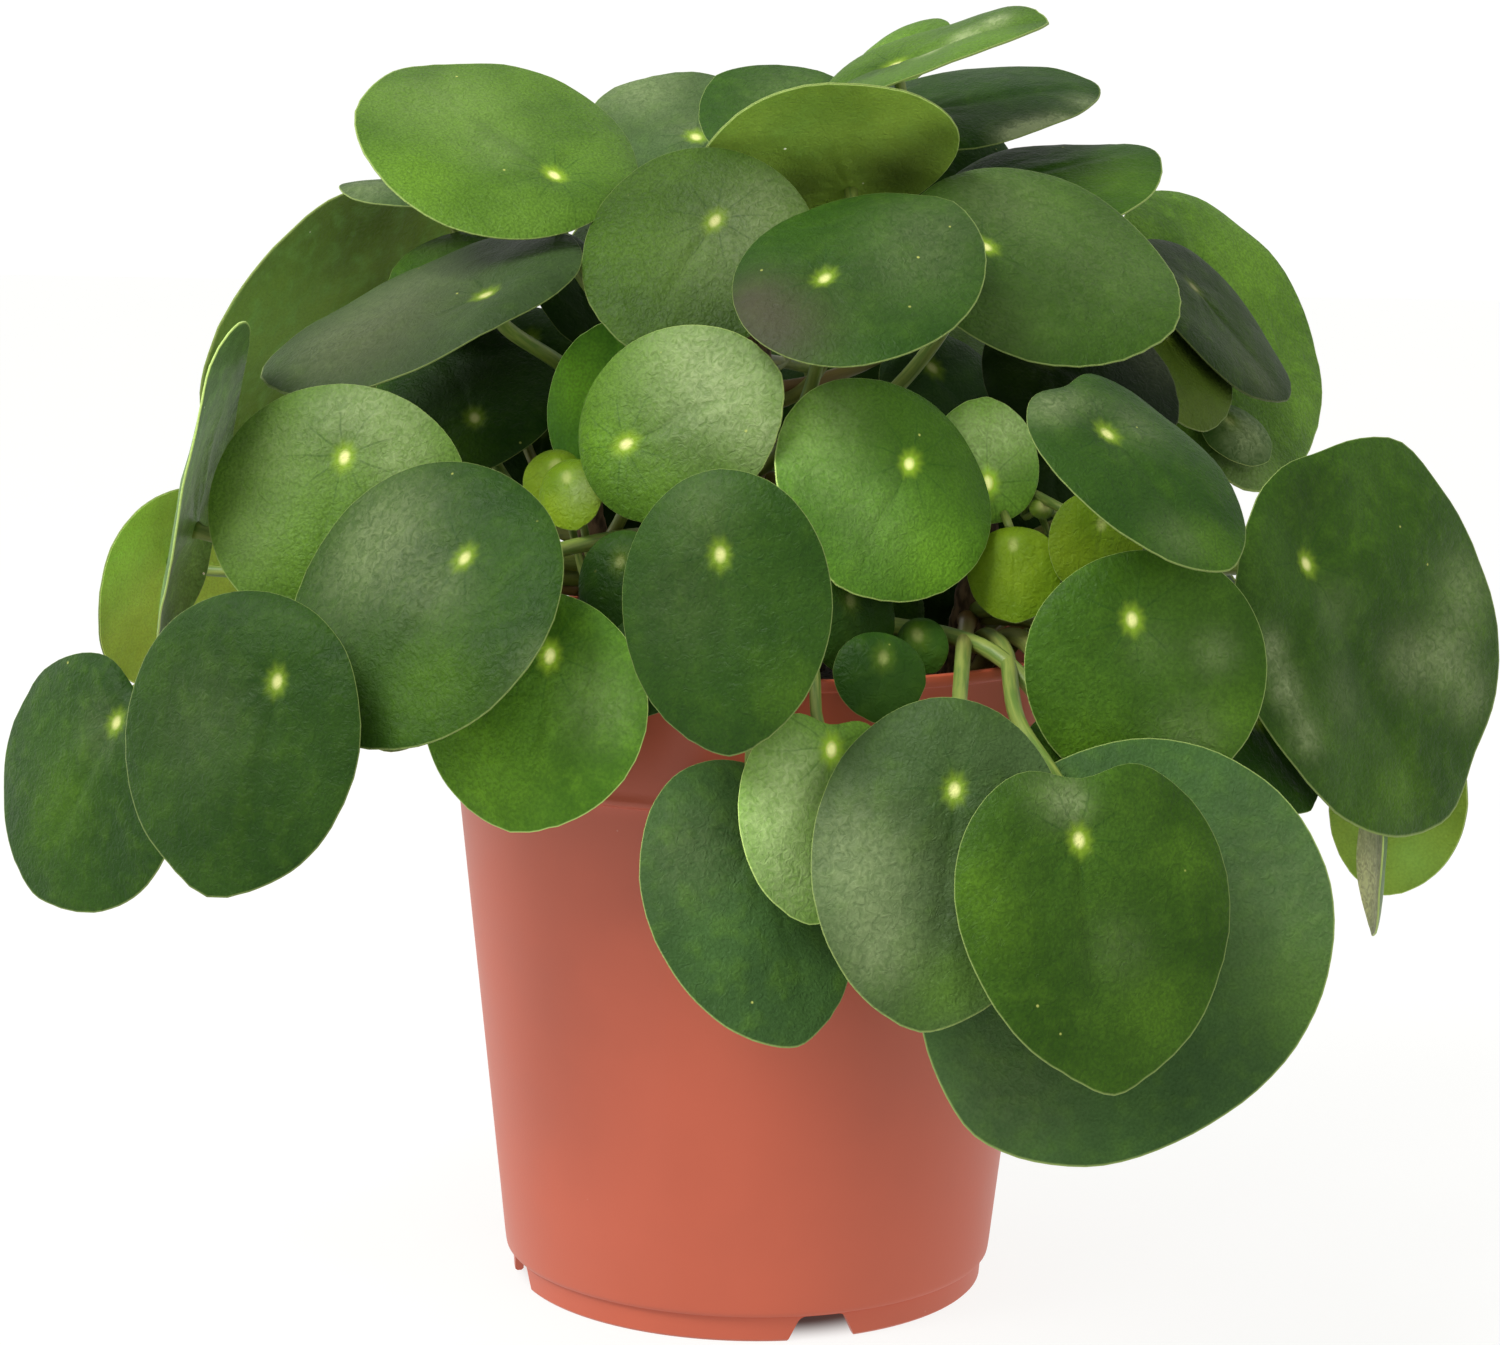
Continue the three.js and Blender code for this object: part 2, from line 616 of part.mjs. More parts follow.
/** The stalk's path, over the pot's rim where it has to, to the hub, which it meets from behind. */
function petiolePath(leaf, stem, rootHeight, sunk) {
  const hub = new THREE.Vector3(...leaf.hub);
  const { out } = bladeFrame(leaf);
  const radius = petioleRadius(leaf);
  const middle = stemAxis(stem, rootHeight);
  const away = new THREE.Vector3(hub.x - middle.x, hub.y - middle.y, 0).normalize();
  const stand = sunk ? 0 : stemRadius(stem, rootHeight) + TOUCH_GAP;
  const root = middle.clone().addScaledVector(away, stand);
  const span = hub.distanceTo(root);
  const rimTop = POT_HEIGHT + radius + RIM_CLEARANCE;
  const overRim = Math.hypot(hub.x, hub.y) > POT_RIM_RADIUS - 4 && hub.z < rimTop + HIGH_LEAF;
  const start = root.clone().addScaledVector(away, STALK_START);
  const via = (leaf.via ?? []).map((place) => new THREE.Vector3(...place));
  if (!overRim && via.length > 0) {
    const arrive = hub.clone().addScaledVector(out, -STALK_END);
    const route = [root, start, ...via, arrive, hub];
    return new THREE.CatmullRomCurve3(route, false, 'centripetal');
  }
  if (!overRim) {
    const leave = root.clone().addScaledVector(away, span * 0.3);
    const arrive = hub.clone().addScaledVector(out, -Math.min(30, span * 0.4));
    return new THREE.CubicBezierCurve3(root, leave, arrive, hub);
  }
  // The crest stands over the rim, where the stalk's plan line leaves the rim's circle.
  const b = root.x * away.x + root.y * away.y;
  const c = root.x ** 2 + root.y ** 2 - (POT_RIM_RADIUS + 1) ** 2;
  const reach = Math.min(-b + Math.sqrt(b * b - c), Math.hypot(hub.x - root.x, hub.y - root.y) - 6);
  const crest = root.clone().addScaledVector(away, reach);
  crest.z = Math.max(rimTop + (leaf.lift ?? 0), THREE.MathUtils.lerp(root.z, hub.z, 0.6));
  const rise = root.clone().lerp(crest, 0.5);
  rise.z = THREE.MathUtils.lerp(root.z, crest.z, 0.7) + 2;
  const arrive = hub.clone().addScaledVector(out, -STALK_END);
  arrive.z += Math.min(8, Math.max(0, crest.z - hub.z) * 0.4);
  const route = [root, start, rise, crest, ...via, arrive, hub];
  return new THREE.CatmullRomCurve3(route, false, 'centripetal');
}

/** A stalk as a closed tube along its path. */
function buildPetiole(leaf, path, steps) {
  const radius = petioleRadius(leaf);
  const section = new THREE.Shape();
  for (let i = 0; i < PETIOLE_SIDES; i += 1) {
    const angle = (i / PETIOLE_SIDES) * Math.PI * 2;
    const x = radius * Math.cos(angle);
    const y = radius * Math.sin(angle);
    if (i === 0) section.moveTo(x, y);
    else section.lineTo(x, y);
  }
  return new THREE.ExtrudeGeometry(section, { steps, extrudePath: path });
}

function buildLeaf(leaf, rootHeight) {
  const path = petiolePath(leaf, STEMS[leaf.stem], rootHeight, false);
  const stalk = buildPetiole(leaf, path, PETIOLE_STEPS);
  const solid = solidOf(buildBlade(leaf)).add(solidOf(stalk));
  return named(`leaf_${leaf.name}`, geometryOf(solid), GREEN[leaf.tone], 0.45);
}

/** A side shoot: its short stem, with the roots of its young leaves' stalks sunk into it. */
function buildShoot(shoot) {
  let solid = solidOf(stemGeometry(shoot, 6, 8));
  shoot.leaves.forEach((leaf, i) => {
    const low = shoot.base ?? SOIL_LEVEL;
    const height = THREE.MathUtils.lerp(low + 3, shoot.top[2], (i + 1) / shoot.leaves.length);
    const path = petiolePath(leaf, shoot, height, true);
    solid = solid.add(solidOf(buildBlade(leaf))).add(solidOf(buildPetiole(leaf, path, 5)));
  });
  return named(shoot.name, geometryOf(solid), GREEN.young, 0.45);
}

/** The height on its stem at which each leaf's stalk starts: leaves that reach higher start higher. */
function rootHeights(leaves) {
  const heights = new Map();
  for (const [name, stem] of Object.entries(STEMS)) {
    const own = leaves.filter((leaf) => leaf.stem === name);
    own.sort((a, b) => a.hub[2] - b.hub[2]);
    const low = SOIL_LEVEL + 8;
    const high = stem.top[2] - 2;
    own.forEach((leaf, i) => {
      heights.set(leaf, leaf.rootAt ?? THREE.MathUtils.lerp(low, high, i / (own.length - 1)));
    });
  }
  return heights;
}

// ---- the whole plant ----------------------------------------------------------------

const plant = new THREE.Group();
plant.add(buildPot(), buildSoil());
for (const [name, stem] of Object.entries(STEMS)) plant.add(buildStem(name, stem));
const heights = rootHeights(LEAVES);
for (const leaf of LEAVES) plant.add(buildLeaf(leaf, heights.get(leaf)));
for (const shoot of SHOOTS) plant.add(buildShoot(shoot));

export default plant;
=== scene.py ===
import math
import random
from functools import partial

import bmesh
import bpy
from bpy.props import FloatProperty, FloatVectorProperty, IntProperty, PointerProperty
from mathutils import Matrix, Vector, noise


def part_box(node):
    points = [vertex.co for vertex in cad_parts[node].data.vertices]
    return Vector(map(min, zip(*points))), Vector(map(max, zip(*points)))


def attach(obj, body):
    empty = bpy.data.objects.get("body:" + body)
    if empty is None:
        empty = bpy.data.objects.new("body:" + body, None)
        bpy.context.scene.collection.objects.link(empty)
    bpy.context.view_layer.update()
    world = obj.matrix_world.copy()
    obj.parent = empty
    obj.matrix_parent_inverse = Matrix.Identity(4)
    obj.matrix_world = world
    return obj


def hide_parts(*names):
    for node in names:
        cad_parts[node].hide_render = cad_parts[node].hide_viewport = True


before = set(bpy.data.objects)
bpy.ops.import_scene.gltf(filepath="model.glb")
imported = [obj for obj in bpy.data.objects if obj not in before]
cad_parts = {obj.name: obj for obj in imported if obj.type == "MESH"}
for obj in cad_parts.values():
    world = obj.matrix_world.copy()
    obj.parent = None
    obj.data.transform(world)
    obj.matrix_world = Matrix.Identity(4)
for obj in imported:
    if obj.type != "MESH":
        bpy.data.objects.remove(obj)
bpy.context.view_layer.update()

bl_info = {
    "name": "Potted Chinese Money Plant",
    "version": (1, 0, 0),
    "blender": (4, 5, 0),
    "location": "View3D > Sidebar > Money Plant",
    "description": "Builds a potted Chinese money plant, leaf by leaf, in its nursery pot",
    "category": "Add Mesh",
}

# ---- sizes, in millimetres unless a name says otherwise -------------------------------

MM = 0.001

POT_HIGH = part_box("pot")[1]
POT_HEIGHT = POT_HIGH.z / MM
RIM_RADIUS = POT_HIGH.x / MM
FOOT_RADIUS = 56.4
BODY_BOTTOM = 7.0
BODY_BOTTOM_RADIUS = 58.4
BODY_TOP_RADIUS = 71.0
BAND_BOTTOM = 125.0
WALL = 1.6
POT_SIDES = 144
POT_SHARP_ANGLE = math.radians(38)
FOOT_INNER_RADIUS = 54.4
POT_FLOOR = 8.0
NOTCH_AZIMUTHS = (18, 108, 198, 288)
NOTCH_TOP_WIDTH = 10.5
NOTCH_BOTTOM_WIDTH = 17.0
NOTCH_HEIGHT = 6.4
NOTCH_DEPTH = 12.0
NOTCH_ROUNDING = 1.3
DRAIN_HOLE_RADIUS = 5.0
DRAIN_HOLE_DISTANCE = 40.0

SOIL_LEVEL = 142.0
SOIL_LUMP = 1.6
SOIL_SIDES = 96
SOIL_RINGS = (70.8, 69, 67, 65, 62.5, *range(60, -1, -3))
CRUMB_SPREAD = 69.0
CRUMB_SIZES = (0.6, 2.0)
ROOT_DEPTH = 26.0
TOUCH_GAP = 0.3

BLADE_SIDES = 72
BLADE_REACHES = (1, 0.985, 0.955, 0.91, 0.85, 0.78, 0.7, 0.62, 0.54, 0.46, 0.38, 0.3, 0.23, 0.16,
                 0.1, 0.05)
HUB_AT = 0.3
HUB_DIMPLE = -0.9
LEAF_CUP = -2.0
SET_LENGTH = 60.0
MOTTLE = 0.12
RIM_THINNING = 0.45
RIM_ROUNDING = 0.2
RIM_SHARP_ANGLE = math.radians(55)
SMALL_THICKNESS = 0.8
WAVE_HEIGHT = 0.012
TIP_POINT = 0.015
TIP_SPREAD = 0.25
NOTCH_SPREAD = 0.3
EGG_SHAPE = 0.06
STALK_SIDES = 12
STALK_RINGS = 30
STALK_BASE_RADIUS = 0.7
STALK_RADIUS_PER_LENGTH = 0.014
STALK_START = 4.0
STALK_END = 7.0
STALK_IN_BARK = 0.9
STALK_IN_BLADE = 0.35
STALK_UNDER_SKIN = 0.1
NEAR_HUB = 12.0
RIM_CLEARANCE = 2.0
HIGH_LEAF = 40.0
STEM_TAPER = 0.3
SCAR_HEIGHT = 0.07
BARK_UNEVENNESS = 0.08
STEM_SIDES = 32
STEM_RINGS = 72
STEM_STEPS = 40
STEM_CAP = 5.0
CURVE_STEPS = 40

# The photograph's camera, worked out from the pot's rim, band and foot.
PHOTO_WIDTH = 1500
CAMERA_PLACE = Vector((0, -0.8, 0.27))
CAMERA_FOCAL_PX = 3420
CAMERA_PITCH = 0.155
CAMERA_YAW = -0.002
CAMERA_ROLL = 0.017
SENSOR = 36.0

# Each studio light: the setting with its power, the share of it, its size in metres and its place.
LIGHT_AIM = Vector((0, 0, 0.15))
LIGHTS = {
    "key_light": ("key", 1, 0.9, Vector((-0.9, -0.75, 1.45))),
    "fill_light": ("fill", 1, 1.2, Vector((0.9, -1.2, 0.6))),
    "left_edge_light": ("edge", 1, 0.9, Vector((-1.2, 0.35, 0.45))),
    "right_edge_light": ("edge", 0.1, 0.9, Vector((1.2, 0.5, 0.45))),
}
FLOOR_SIZE = 11.0
FLOOR_DROP = 0.05
DOME_RADIUS = 6.0
# Painted shade on the floor under the pot: the floor's own light is at its darkest from 13 mm inside the
# foot's edge inwards, and full from half a millimetre outside it.
GROUND_SHADE_INSIDE = 13.0
GROUND_SHADE_OUTSIDE = 0.5
GROUND_DARKEST = 0.03

# The three woody stems: foot and top as places in the pot's frame, and thickness.
STEMS = {
    "main": {"foot": (-6, 6), "top": (-2, 8, 232), "radius": 6.5},
    "left": {"foot": (-36, -6), "top": (-40, -8, 186), "radius": 5},
    "right": {"foot": (46, -10), "top": (52, -14, 180), "radius": 5},
}


def entry(name, stem, tone, size, tip, hub, face, **more):
    """One leaf. size is the blade's length and width, and tip is how far its tip is turned from
    straight down. hub is where the stalk meets the blade, and face is the way that the upper side
    looks: azimuth from the front towards +X, then elevation. More may say:
    hub_at: the hub's place along the blade. side: how far the blade's middle lies to one side.
    point, egg, notch, fold: how pointed, egg-shaped, cleft and folded the blade is.
    stalk: the stalk's radius. root_at: its height on the stem. lift, via: how it gets to the hub.
    glow: a brightness painted over the whole leaf, which stands partly for its own tone and
    partly for painted light and shade. mottle: how blotched the skin is.
    corners: (angle, height, spread) of each swell of the edge.
    sheen, blush, shade, fresh: (along, across, radius, strength) of each spot: painted sheen,
    the skin's own blush, painted shade, and fresh green."""
    return dict(more, name=name, stem=stem, tone=tone, size=size, tip=tip, hub=hub, face=face)


# The large leaves, the same as in the part.
LEAVES = [
    entry("top_left", "main", "light", (70, 63), -150, (-48, -9, 261), (18, 55), hub_at=0.24, side=3,
          glow=1.12, corners=[(-84, 3.8, 32), (-50, 0.8, 24)], sheen=[(37, 3, 16, 0.2),
           (14, 5, 9, 0.18)], fresh=[(17, 27, 14, 0.35)]),
    entry("top_back_left", "main", "grey", (50, 49), -132, (-17, 50, 270), (-11, 54), glow=1.15,
          corners=[(-21, -1.8, 30)], sheen=[(27, -3, 12, 0.4), (4, -1, 7, 0.2)]),
    entry("top_back_dark", "main", "dark", (40, 37), -130, (6, 32, 273), (-5, 46), hub_at=0.32, side=-2,
          sheen=[(8, -8, 12, 0.2)]),
    entry("top_underside", "main", "olive", (50, 62), 160, (20, 12, 259), (-170, 50), hub_at=0.17,
          side=-3, glow=3.1, shade=[(2, 12, 13, 0.75), (5, -11, 9, 0.6), (15, 25, 8, 0.45)],
          fresh=[(28, -7, 14, 0.15)]),
    entry("top_back_bright", "main", "light", (32, 33), 180, (29, 98, 289), (-54, 50), root_at=214,
          glow=1.1, fresh=[(9, 8, 14, 0.6)]),
    entry("top_right_tip", "main", "light", (59, 44), 135, (30, 28, 288), (-59, 62), hub_at=0.35,
          side=-2, fold=4, sheen=[(10, -4, 3, 1.4), (18, 1, 3.4, 1.2), (26, 4, 3.4, 1)],
          shade=[(-3, -3, 8, 0.25)], fresh=[(25, -12, 9, 0.5)]),
    entry("top_right_gloss", "main", "dark", (66, 47), 116, (36, 50, 277), (-13, 65), hub_at=0.27,
          side=3, glow=0.75, sheen=[(26, -19, 5, 2.2), (20, -20, 4.4, 1.8), (33, -17, 4, 1.6),
           (42, -8, 5, 0.7)]),
    entry("top_right_dark", "main", "dark", (57, 50), 134, (57, 36, 259), (-24, 63), side=-3, glow=1.1,
          fresh=[(24, -12, 12, 0.4)]),
    entry("upper_right", "main", "mid", (68, 59), 51, (50, -15, 247), (12, 48), hub_at=0.31, side=5,
          glow=0.98, sheen=[(-5, 17, 16, 0.25), (26, 15, 22, 0.16), (15, -19, 12, 0.12)]),
    entry("centre_dark", "main", "dark", (60, 53), 145, (13, -50, 240), (-10, 50), hub_at=0.37, side=-4,
          glow=0.92, sheen=[(27, -7, 14, 0.2), (13, -12, 12, 0.12)], blush=[(-17, -2, 13, 0.6),
           (-14, 10, 8, 0.4)]),
    entry("centre_top", "main", "light", (55, 53), -23, (-11, -26, 252), (-11, 33), hub_at=0.35,
          side=-1, glow=0.63, sheen=[(-9, 8, 11, 0.5), (7, 5, 13, 0.3), (4, 18, 9, 0.35)],
          shade=[(26, 11, 9, 0.2)], fresh=[(16, -16, 12, 0.45)]),
    entry("centre_pale", "left", "light", (50, 44), 118, (-30, -50, 203), (-22, 17), hub_at=0.24,
          glow=1.1, sheen=[(20, 15, 11, 0.55), (29, 1, 11, 0.6), (17, 1, 14, 0.3), (30, -13, 7, 0.55)],
          fresh=[(-5, 3, 8, 0.6), (4, -13, 9, 0.3)]),
    entry("behind_pale", "main", "dark", (40, 36), -173, (-33, -16, 201), (-19, 9), root_at=160,
          via=[(-22, -10, 180)], glow=5.2, fresh=[(14, 10, 9, 0.3)]),
    entry("centre_right", "main", "mid", (53, 53), -38, (33, -48, 200), (28, 27), hub_at=0.34, side=-2,
          glow=2.25, sheen=[(10, -22, 12, 0.2), (-2, -22, 10, 0.12), (18, -2, 12, 0.12)],
          fresh=[(6, -29, 8, 0.4), (17, 16, 10, 0.35)]),
    entry("shade_centre", "main", "deep", (36, 32), 30, (41, 32, 216), (20, 35), root_at=198, glow=0.7),
    entry("left_oblique", "main", "grey", (78, 55), -38, (-62, -31, 235), (-42, 59), hub_at=0.31,
          side=-10, root_at=170, via=[(-30, 4, 203), (-46, 3, 216)], glow=0.73,
          sheen=[(18, -21, 18, 0.3), (37, -5, 12, 0.25)], blush=[(25, -4, 22, 0.3)]),
    entry("left_shade", "left", "dark", (48, 46), -149, (-67, 0, 204), (-13, 43), glow=0.85,
          shade=[(17, 3, 15, 0.4), (17, -12, 14, 0.4)], fresh=[(-6, 8, 8, 0.3)]),
    entry("left_back_under", "left", "olive", (87, 78), 59, (-93, 75, 220), (-130, 23), side=12,
          glow=1.75, mottle=0.5, corners=[(46, 3.2, 24), (16, 2.2, 20)], shade=[(-1, 36, 14, 0.3)],
          fresh=[(42, 28, 30, 0.5)]),
    entry("left_behind", "left", "mid", (32, 30), -75, (-68, 20, 239), (-14, 47),
          sheen=[(9, -13, 8, 0.25)]),
    entry("left_edge_on", "main", "grey", (40, 24), -105, (-75, 30, 257), (6, 77), via=[(-70, 52, 228)],
          sheen=[(21, 4, 8, 0.4)]),
    entry("left_pale", "left", "light", (57, 59), -8, (-91, -54, 200), (-10, 21), glow=1.02,
          sheen=[(-12, 8, 12, 0.5), (-11, -3, 8, 0.35), (0, 13, 7, 0.4), (1, -15, 12, 0.3),
           (22, -16, 9, 0.2)], fresh=[(25, -4, 10, 0.3)]),
    entry("left_front", "main", "dark", (68, 64), -22, (-62, -84, 182), (-25, 31), side=-4, root_at=176,
          via=[(-44, -62, 180)], glow=0.85, sheen=[(1, -22, 13, 0.42), (14, -20, 13, 0.35),
           (9, 0, 8, 0.3), (11, 31, 6, 0.35), (22, 31, 5, 0.3)], fresh=[(26, 11, 12, 0.35)]),
    entry("left_upright", "left", "grey", (80, 50), 162, (-130, -25, 180), (-92, 15), side=-9, glow=2,
          mottle=0.4, fresh=[(22, -6, 20, 0.5), (-10, 3, 14, 0.5)]),
    entry("far_left", "left", "dark", (60, 59), -28, (-144, -42, 138), (-36, 10), hub_at=0.21, notch=5,
          glow=0.85, mottle=0.2, corners=[(-70, 1.2, 16), (-114, 1.2, 14)], sheen=[(4, -3, 7, 0.2)],
          fresh=[(24, -4, 10, 0.3)]),
    entry("far_left_front", "left", "dark", (65, 59), -4, (-100, -97, 157), (-26, 14), hub_at=0.28,
          side=-8, via=[(-99, -78, 146)], glow=0.76, mottle=0.15, corners=[(-27, -1.2, 20)],
          sheen=[(11, -17, 14, 0.12)]),
    entry("far_left_under", "left", "olive", (50, 48), 3, (-140, 5, 169), (-126, 13), hub_at=0.38,
          glow=3.9, fresh=[(0, 16, 12, 0.3)]),
    entry("front_left_low", "left", "mid", (52, 52), -6, (-44, -82, 161), (-18, 10), hub_at=0.26,
          side=-3, glow=2.3, mottle=0.2, sheen=[(8, 13, 9, 0.18)], fresh=[(29, -11, 12, 0.3)]),
    entry("front_centre", "main", "dark", (59, 45), 5, (-8, -104, 186), (-18, 7), glow=0.9,
          sheen=[(-9, -4, 8, 0.2), (10, -9, 12, 0.1)], fresh=[(30, 14, 8, 0.25)]),
    entry("front_low_left", "main", "deep", (64, 45), 12, (1, -90, 123), (16, 26), hub_at=0.32, side=-5,
          lift=2, glow=1.2, mottle=0.2, sheen=[(-2, -15, 12, 0.15)]),
    entry("front_notched", "main", "light", (46, 38), -10, (16, -94, 144), (25, 11), hub_at=0.2,
          notch=4, glow=2.3, mottle=0.05, sheen=[(6, -8, 9, 0.5), (19, -12, 10, 0.5),
           (30, -4, 9, 0.35)]),
    entry("front_grey", "right", "grey", (69, 52), -4, (41, -110, 139), (-4, 19), hub_at=0.28, side=-2,
          root_at=160.5, glow=1.08, sheen=[(21, -17, 12, 0.45), (35, -12, 8, 0.4), (11, -22, 10, 0.2)],
          shade=[(27, 5, 8, 0.25)], fresh=[(41, 3, 9, 0.3)]),
    entry("front_heart", "right", "mid", (69, 58), 3, (66, -120, 131), (14, 17), hub_at=0.27, side=2.5,
          point=0.035, egg=0.12, notch=6, root_at=155.5, via=[(56, -79, 148), (62, -95, 140)],
          glow=0.98, mottle=0.15, sheen=[(-7, -1, 4, 0.5), (-10, -4, 6, 0.25), (23, 6, 7, 0.12)],
          fresh=[(7, -22, 6, 0.35), (17, -19, 7, 0.25), (36, 12, 8, 0.3), (6, 23, 7, 0.2)]),
    entry("front_largest", "right", "deep", (98, 81), -37, (80, -92, 114), (-6, 15), hub_at=0.38,
          side=7, root_at=148, glow=1.27, mottle=0.15, corners=[(63, -1.3, 20)],
          sheen=[(-20, 27, 22, 0.14), (47, 5, 16, 0.14)], fresh=[(-6, 43, 12, 0.25)]),
    entry("right_mid", "right", "mid", (54, 53), 9, (80, -75, 170), (5, 8), hub_at=0.27, side=2,
          root_at=163.5, glow=1.35, sheen=[(27, 9, 8, 0.2), (10, 17, 5, 0.28), (7, 3, 6, 0.12)],
          fresh=[(29, -14, 10, 0.35), (25, 20, 8, 0.3)]),
    entry("right_notched", "right", "dark", (59, 41), 18, (73, -78, 210), (29, 48), hub_at=0.33, side=2,
          notch=4, root_at=177, via=[(72, -22, 186), (88, -40, 203)], glow=0.9,
          sheen=[(-11, -7, 5, 0.55), (1, 8, 7, 0.25), (-10, 1, 5, 0.25), (29, -5, 6, 0.2)],
          fresh=[(35, 2, 7, 0.3)]),
    entry("far_right", "right", "mid", (95, 81), 29, (122, -45, 179), (39, 11), hub_at=0.23, side=7,
          fold=4, root_at=167, glow=1.02, mottle=0.2, corners=[(129, 4, 14), (162, -2, 12),
           (27, -1.5, 15)], sheen=[(32, 38, 9, 0.45), (42, 24, 8, 0.6), (35, 14, 7, 0.5),
           (55, 27, 6, 0.45), (12, 0, 6, 0.22), (29, -11, 7, 0.2), (18, -24, 4, 0.9), (29, -26, 4, 0.8),
           (9, -22, 4, 0.8)], shade=[(31, 15, 9, 0.2), (-14, 8, 9, 0.25)], fresh=[(58, -6, 8, 0.45)]),
    entry("far_right_under", "right", "olive", (44, 32), 6, (152, -8, 121), (164, 8), hub_at=0.42,
          root_at=156, glow=2.3, fresh=[(16, -7, 8, 0.3)]),
    entry("right_hanging", "right", "grey", (38, 28), -1, (144, -30, 118), (90, 2), root_at=151,
          glow=1.7, sheen=[(16, 9, 14, 1.3), (27, 15, 10, 1.2)]),
    entry("right_low_dark", "right", "dark", (35, 31), 20, (110, -50, 145), (41, 35), root_at=161,
          glow=0.9),
    entry("right_back_big", "main", "light", (89, 62), -10, (113, 88, 236), (36, 33), hub_at=0.35,
          side=4, glow=1.2, mottle=0.4, corners=[(82, 3, 38), (145, -2.4, 22), (-12, 3.4, 18)],
          sheen=[(56, 0, 10, 0.4)], fresh=[(-4, 24, 18, 0.35), (33, 24, 14, 0.3)]),
    entry("right_back_dark", "main", "dark", (54, 51), 10, (106, 48, 236), (58, 43), hub_at=0.33,
          glow=0.33, mottle=0.4, sheen=[(25, -5, 8, 0.3), (31, -6, 5, 0.3)], fresh=[(11, -2, 25, 0.4)]),
    entry("right_back_olive", "right", "olive", (38, 35), 0, (97, 30, 225), (38, 40), root_at=173,
          glow=0.8, sheen=[(29, 15, 8, 0.2)]),
    entry("right_shade", "main", "dark", (49, 44), 63, (66, 2, 220), (15, 39), glow=0.23,
          sheen=[(26, 15, 8, 0.7)], fresh=[(-5, -4, 9, 0.4)]),
    entry("rear_low_left", "left", "mid", (62, 57), 5, (-84, 88, 148), (-138, 25)),
    entry("rear_low", "main", "dark", (68, 62), -5, (-18, 116, 142), (-172, 22)),
    entry("rear_low_right", "right", "mid", (64, 58), 5, (56, 106, 150), (155, 25), root_at=152),
    entry("rear_far_right", "right", "dark", (58, 54), -5, (110, 76, 160), (125, 28), root_at=156),
    entry("rear_side_right", "right", "mid", (52, 46), 5, (136, 18, 146), (92, 22), root_at=161),
    entry("rear_side_left", "left", "mid", (56, 52), 5, (-128, 48, 150), (-108, 25)),
    entry("rear_mid", "main", "mid", (64, 58), 5, (-12, 104, 208), (176, 38)),
    entry("rear_mid_right", "main", "light", (56, 50), 5, (50, 98, 214), (152, 40)),
    entry("rear_top", "main", "mid", (52, 46), 5, (-26, 84, 250), (-160, 58)),
]

# Short side shoots with young leaves of their own. One with a base is the crown on the top of
# a stem, and the others stand in the soil.
SHOOTS = [
    dict(name="shoot_front", foot=(34, -42), top=(34, -44, 156), radius=2.6, leaves=[
        dict(hub=(20, -60, 171), face=(25, 10), tip=10, size=(25, 22), tone="shade", glow=0.8),
        dict(hub=(27, -77, 161), face=(10, 25), tip=-10, size=(20, 20), tone="shade", glow=1.1),
        dict(hub=(35, -56, 163), face=(-10, 20), tip=30, size=(13, 11), tone="shade", glow=1.2),
    ]),
    dict(name="crown_right", foot=(52, -14), base=186.4, top=(53, -16, 194), radius=3.4, leaves=[
        dict(hub=(51, -35, 194), face=(15, 15), tip=175, size=(29, 26), tone="light", glow=3,
             sheen=[(8, 5, 9, 0.5), (14, -6, 7, 0.5)]),
        dict(hub=(56.5, -44, 182), face=(-10, 20), tip=5, size=(22, 21), hub_at=0.2, glow=1.2),
        dict(hub=(76, -44, 187), face=(15, 15), tip=-10, size=(25, 22), glow=0.95),
        dict(hub=(64, -31, 189), face=(40, 30), tip=100, size=(8, 5), tone="grey",
             sheen=[(2, 0, 2, 0.9)]),
        dict(hub=(67, -30, 185), face=(-40, 10), tip=60, size=(7, 4), tone="light", glow=0.8),
        dict(hub=(68, -30, 182), face=(10, 40), tip=-60, size=(7, 5), tone="shade", glow=0.7),
    ]),
    dict(name="shoot_left", foot=(-24, -34), top=(-25, -37, 160), radius=3, leaves=[
        dict(hub=(-43, -42, 195), face=(-20, 30), tip=20, size=(18, 15), sheen=[(4, 3, 4, 0.5)]),
        dict(hub=(-46, -34, 197), face=(-10, 30), tip=-20, size=(15, 13)),
        dict(hub=(-30, -62, 179), face=(-20, 20), tip=0, size=(24, 20), tone="shade", glow=0.7),
        dict(hub=(-24, -78, 163), face=(-10, 20), tip=0, size=(22, 19), tone="shade", glow=0.7),
    ]),
]
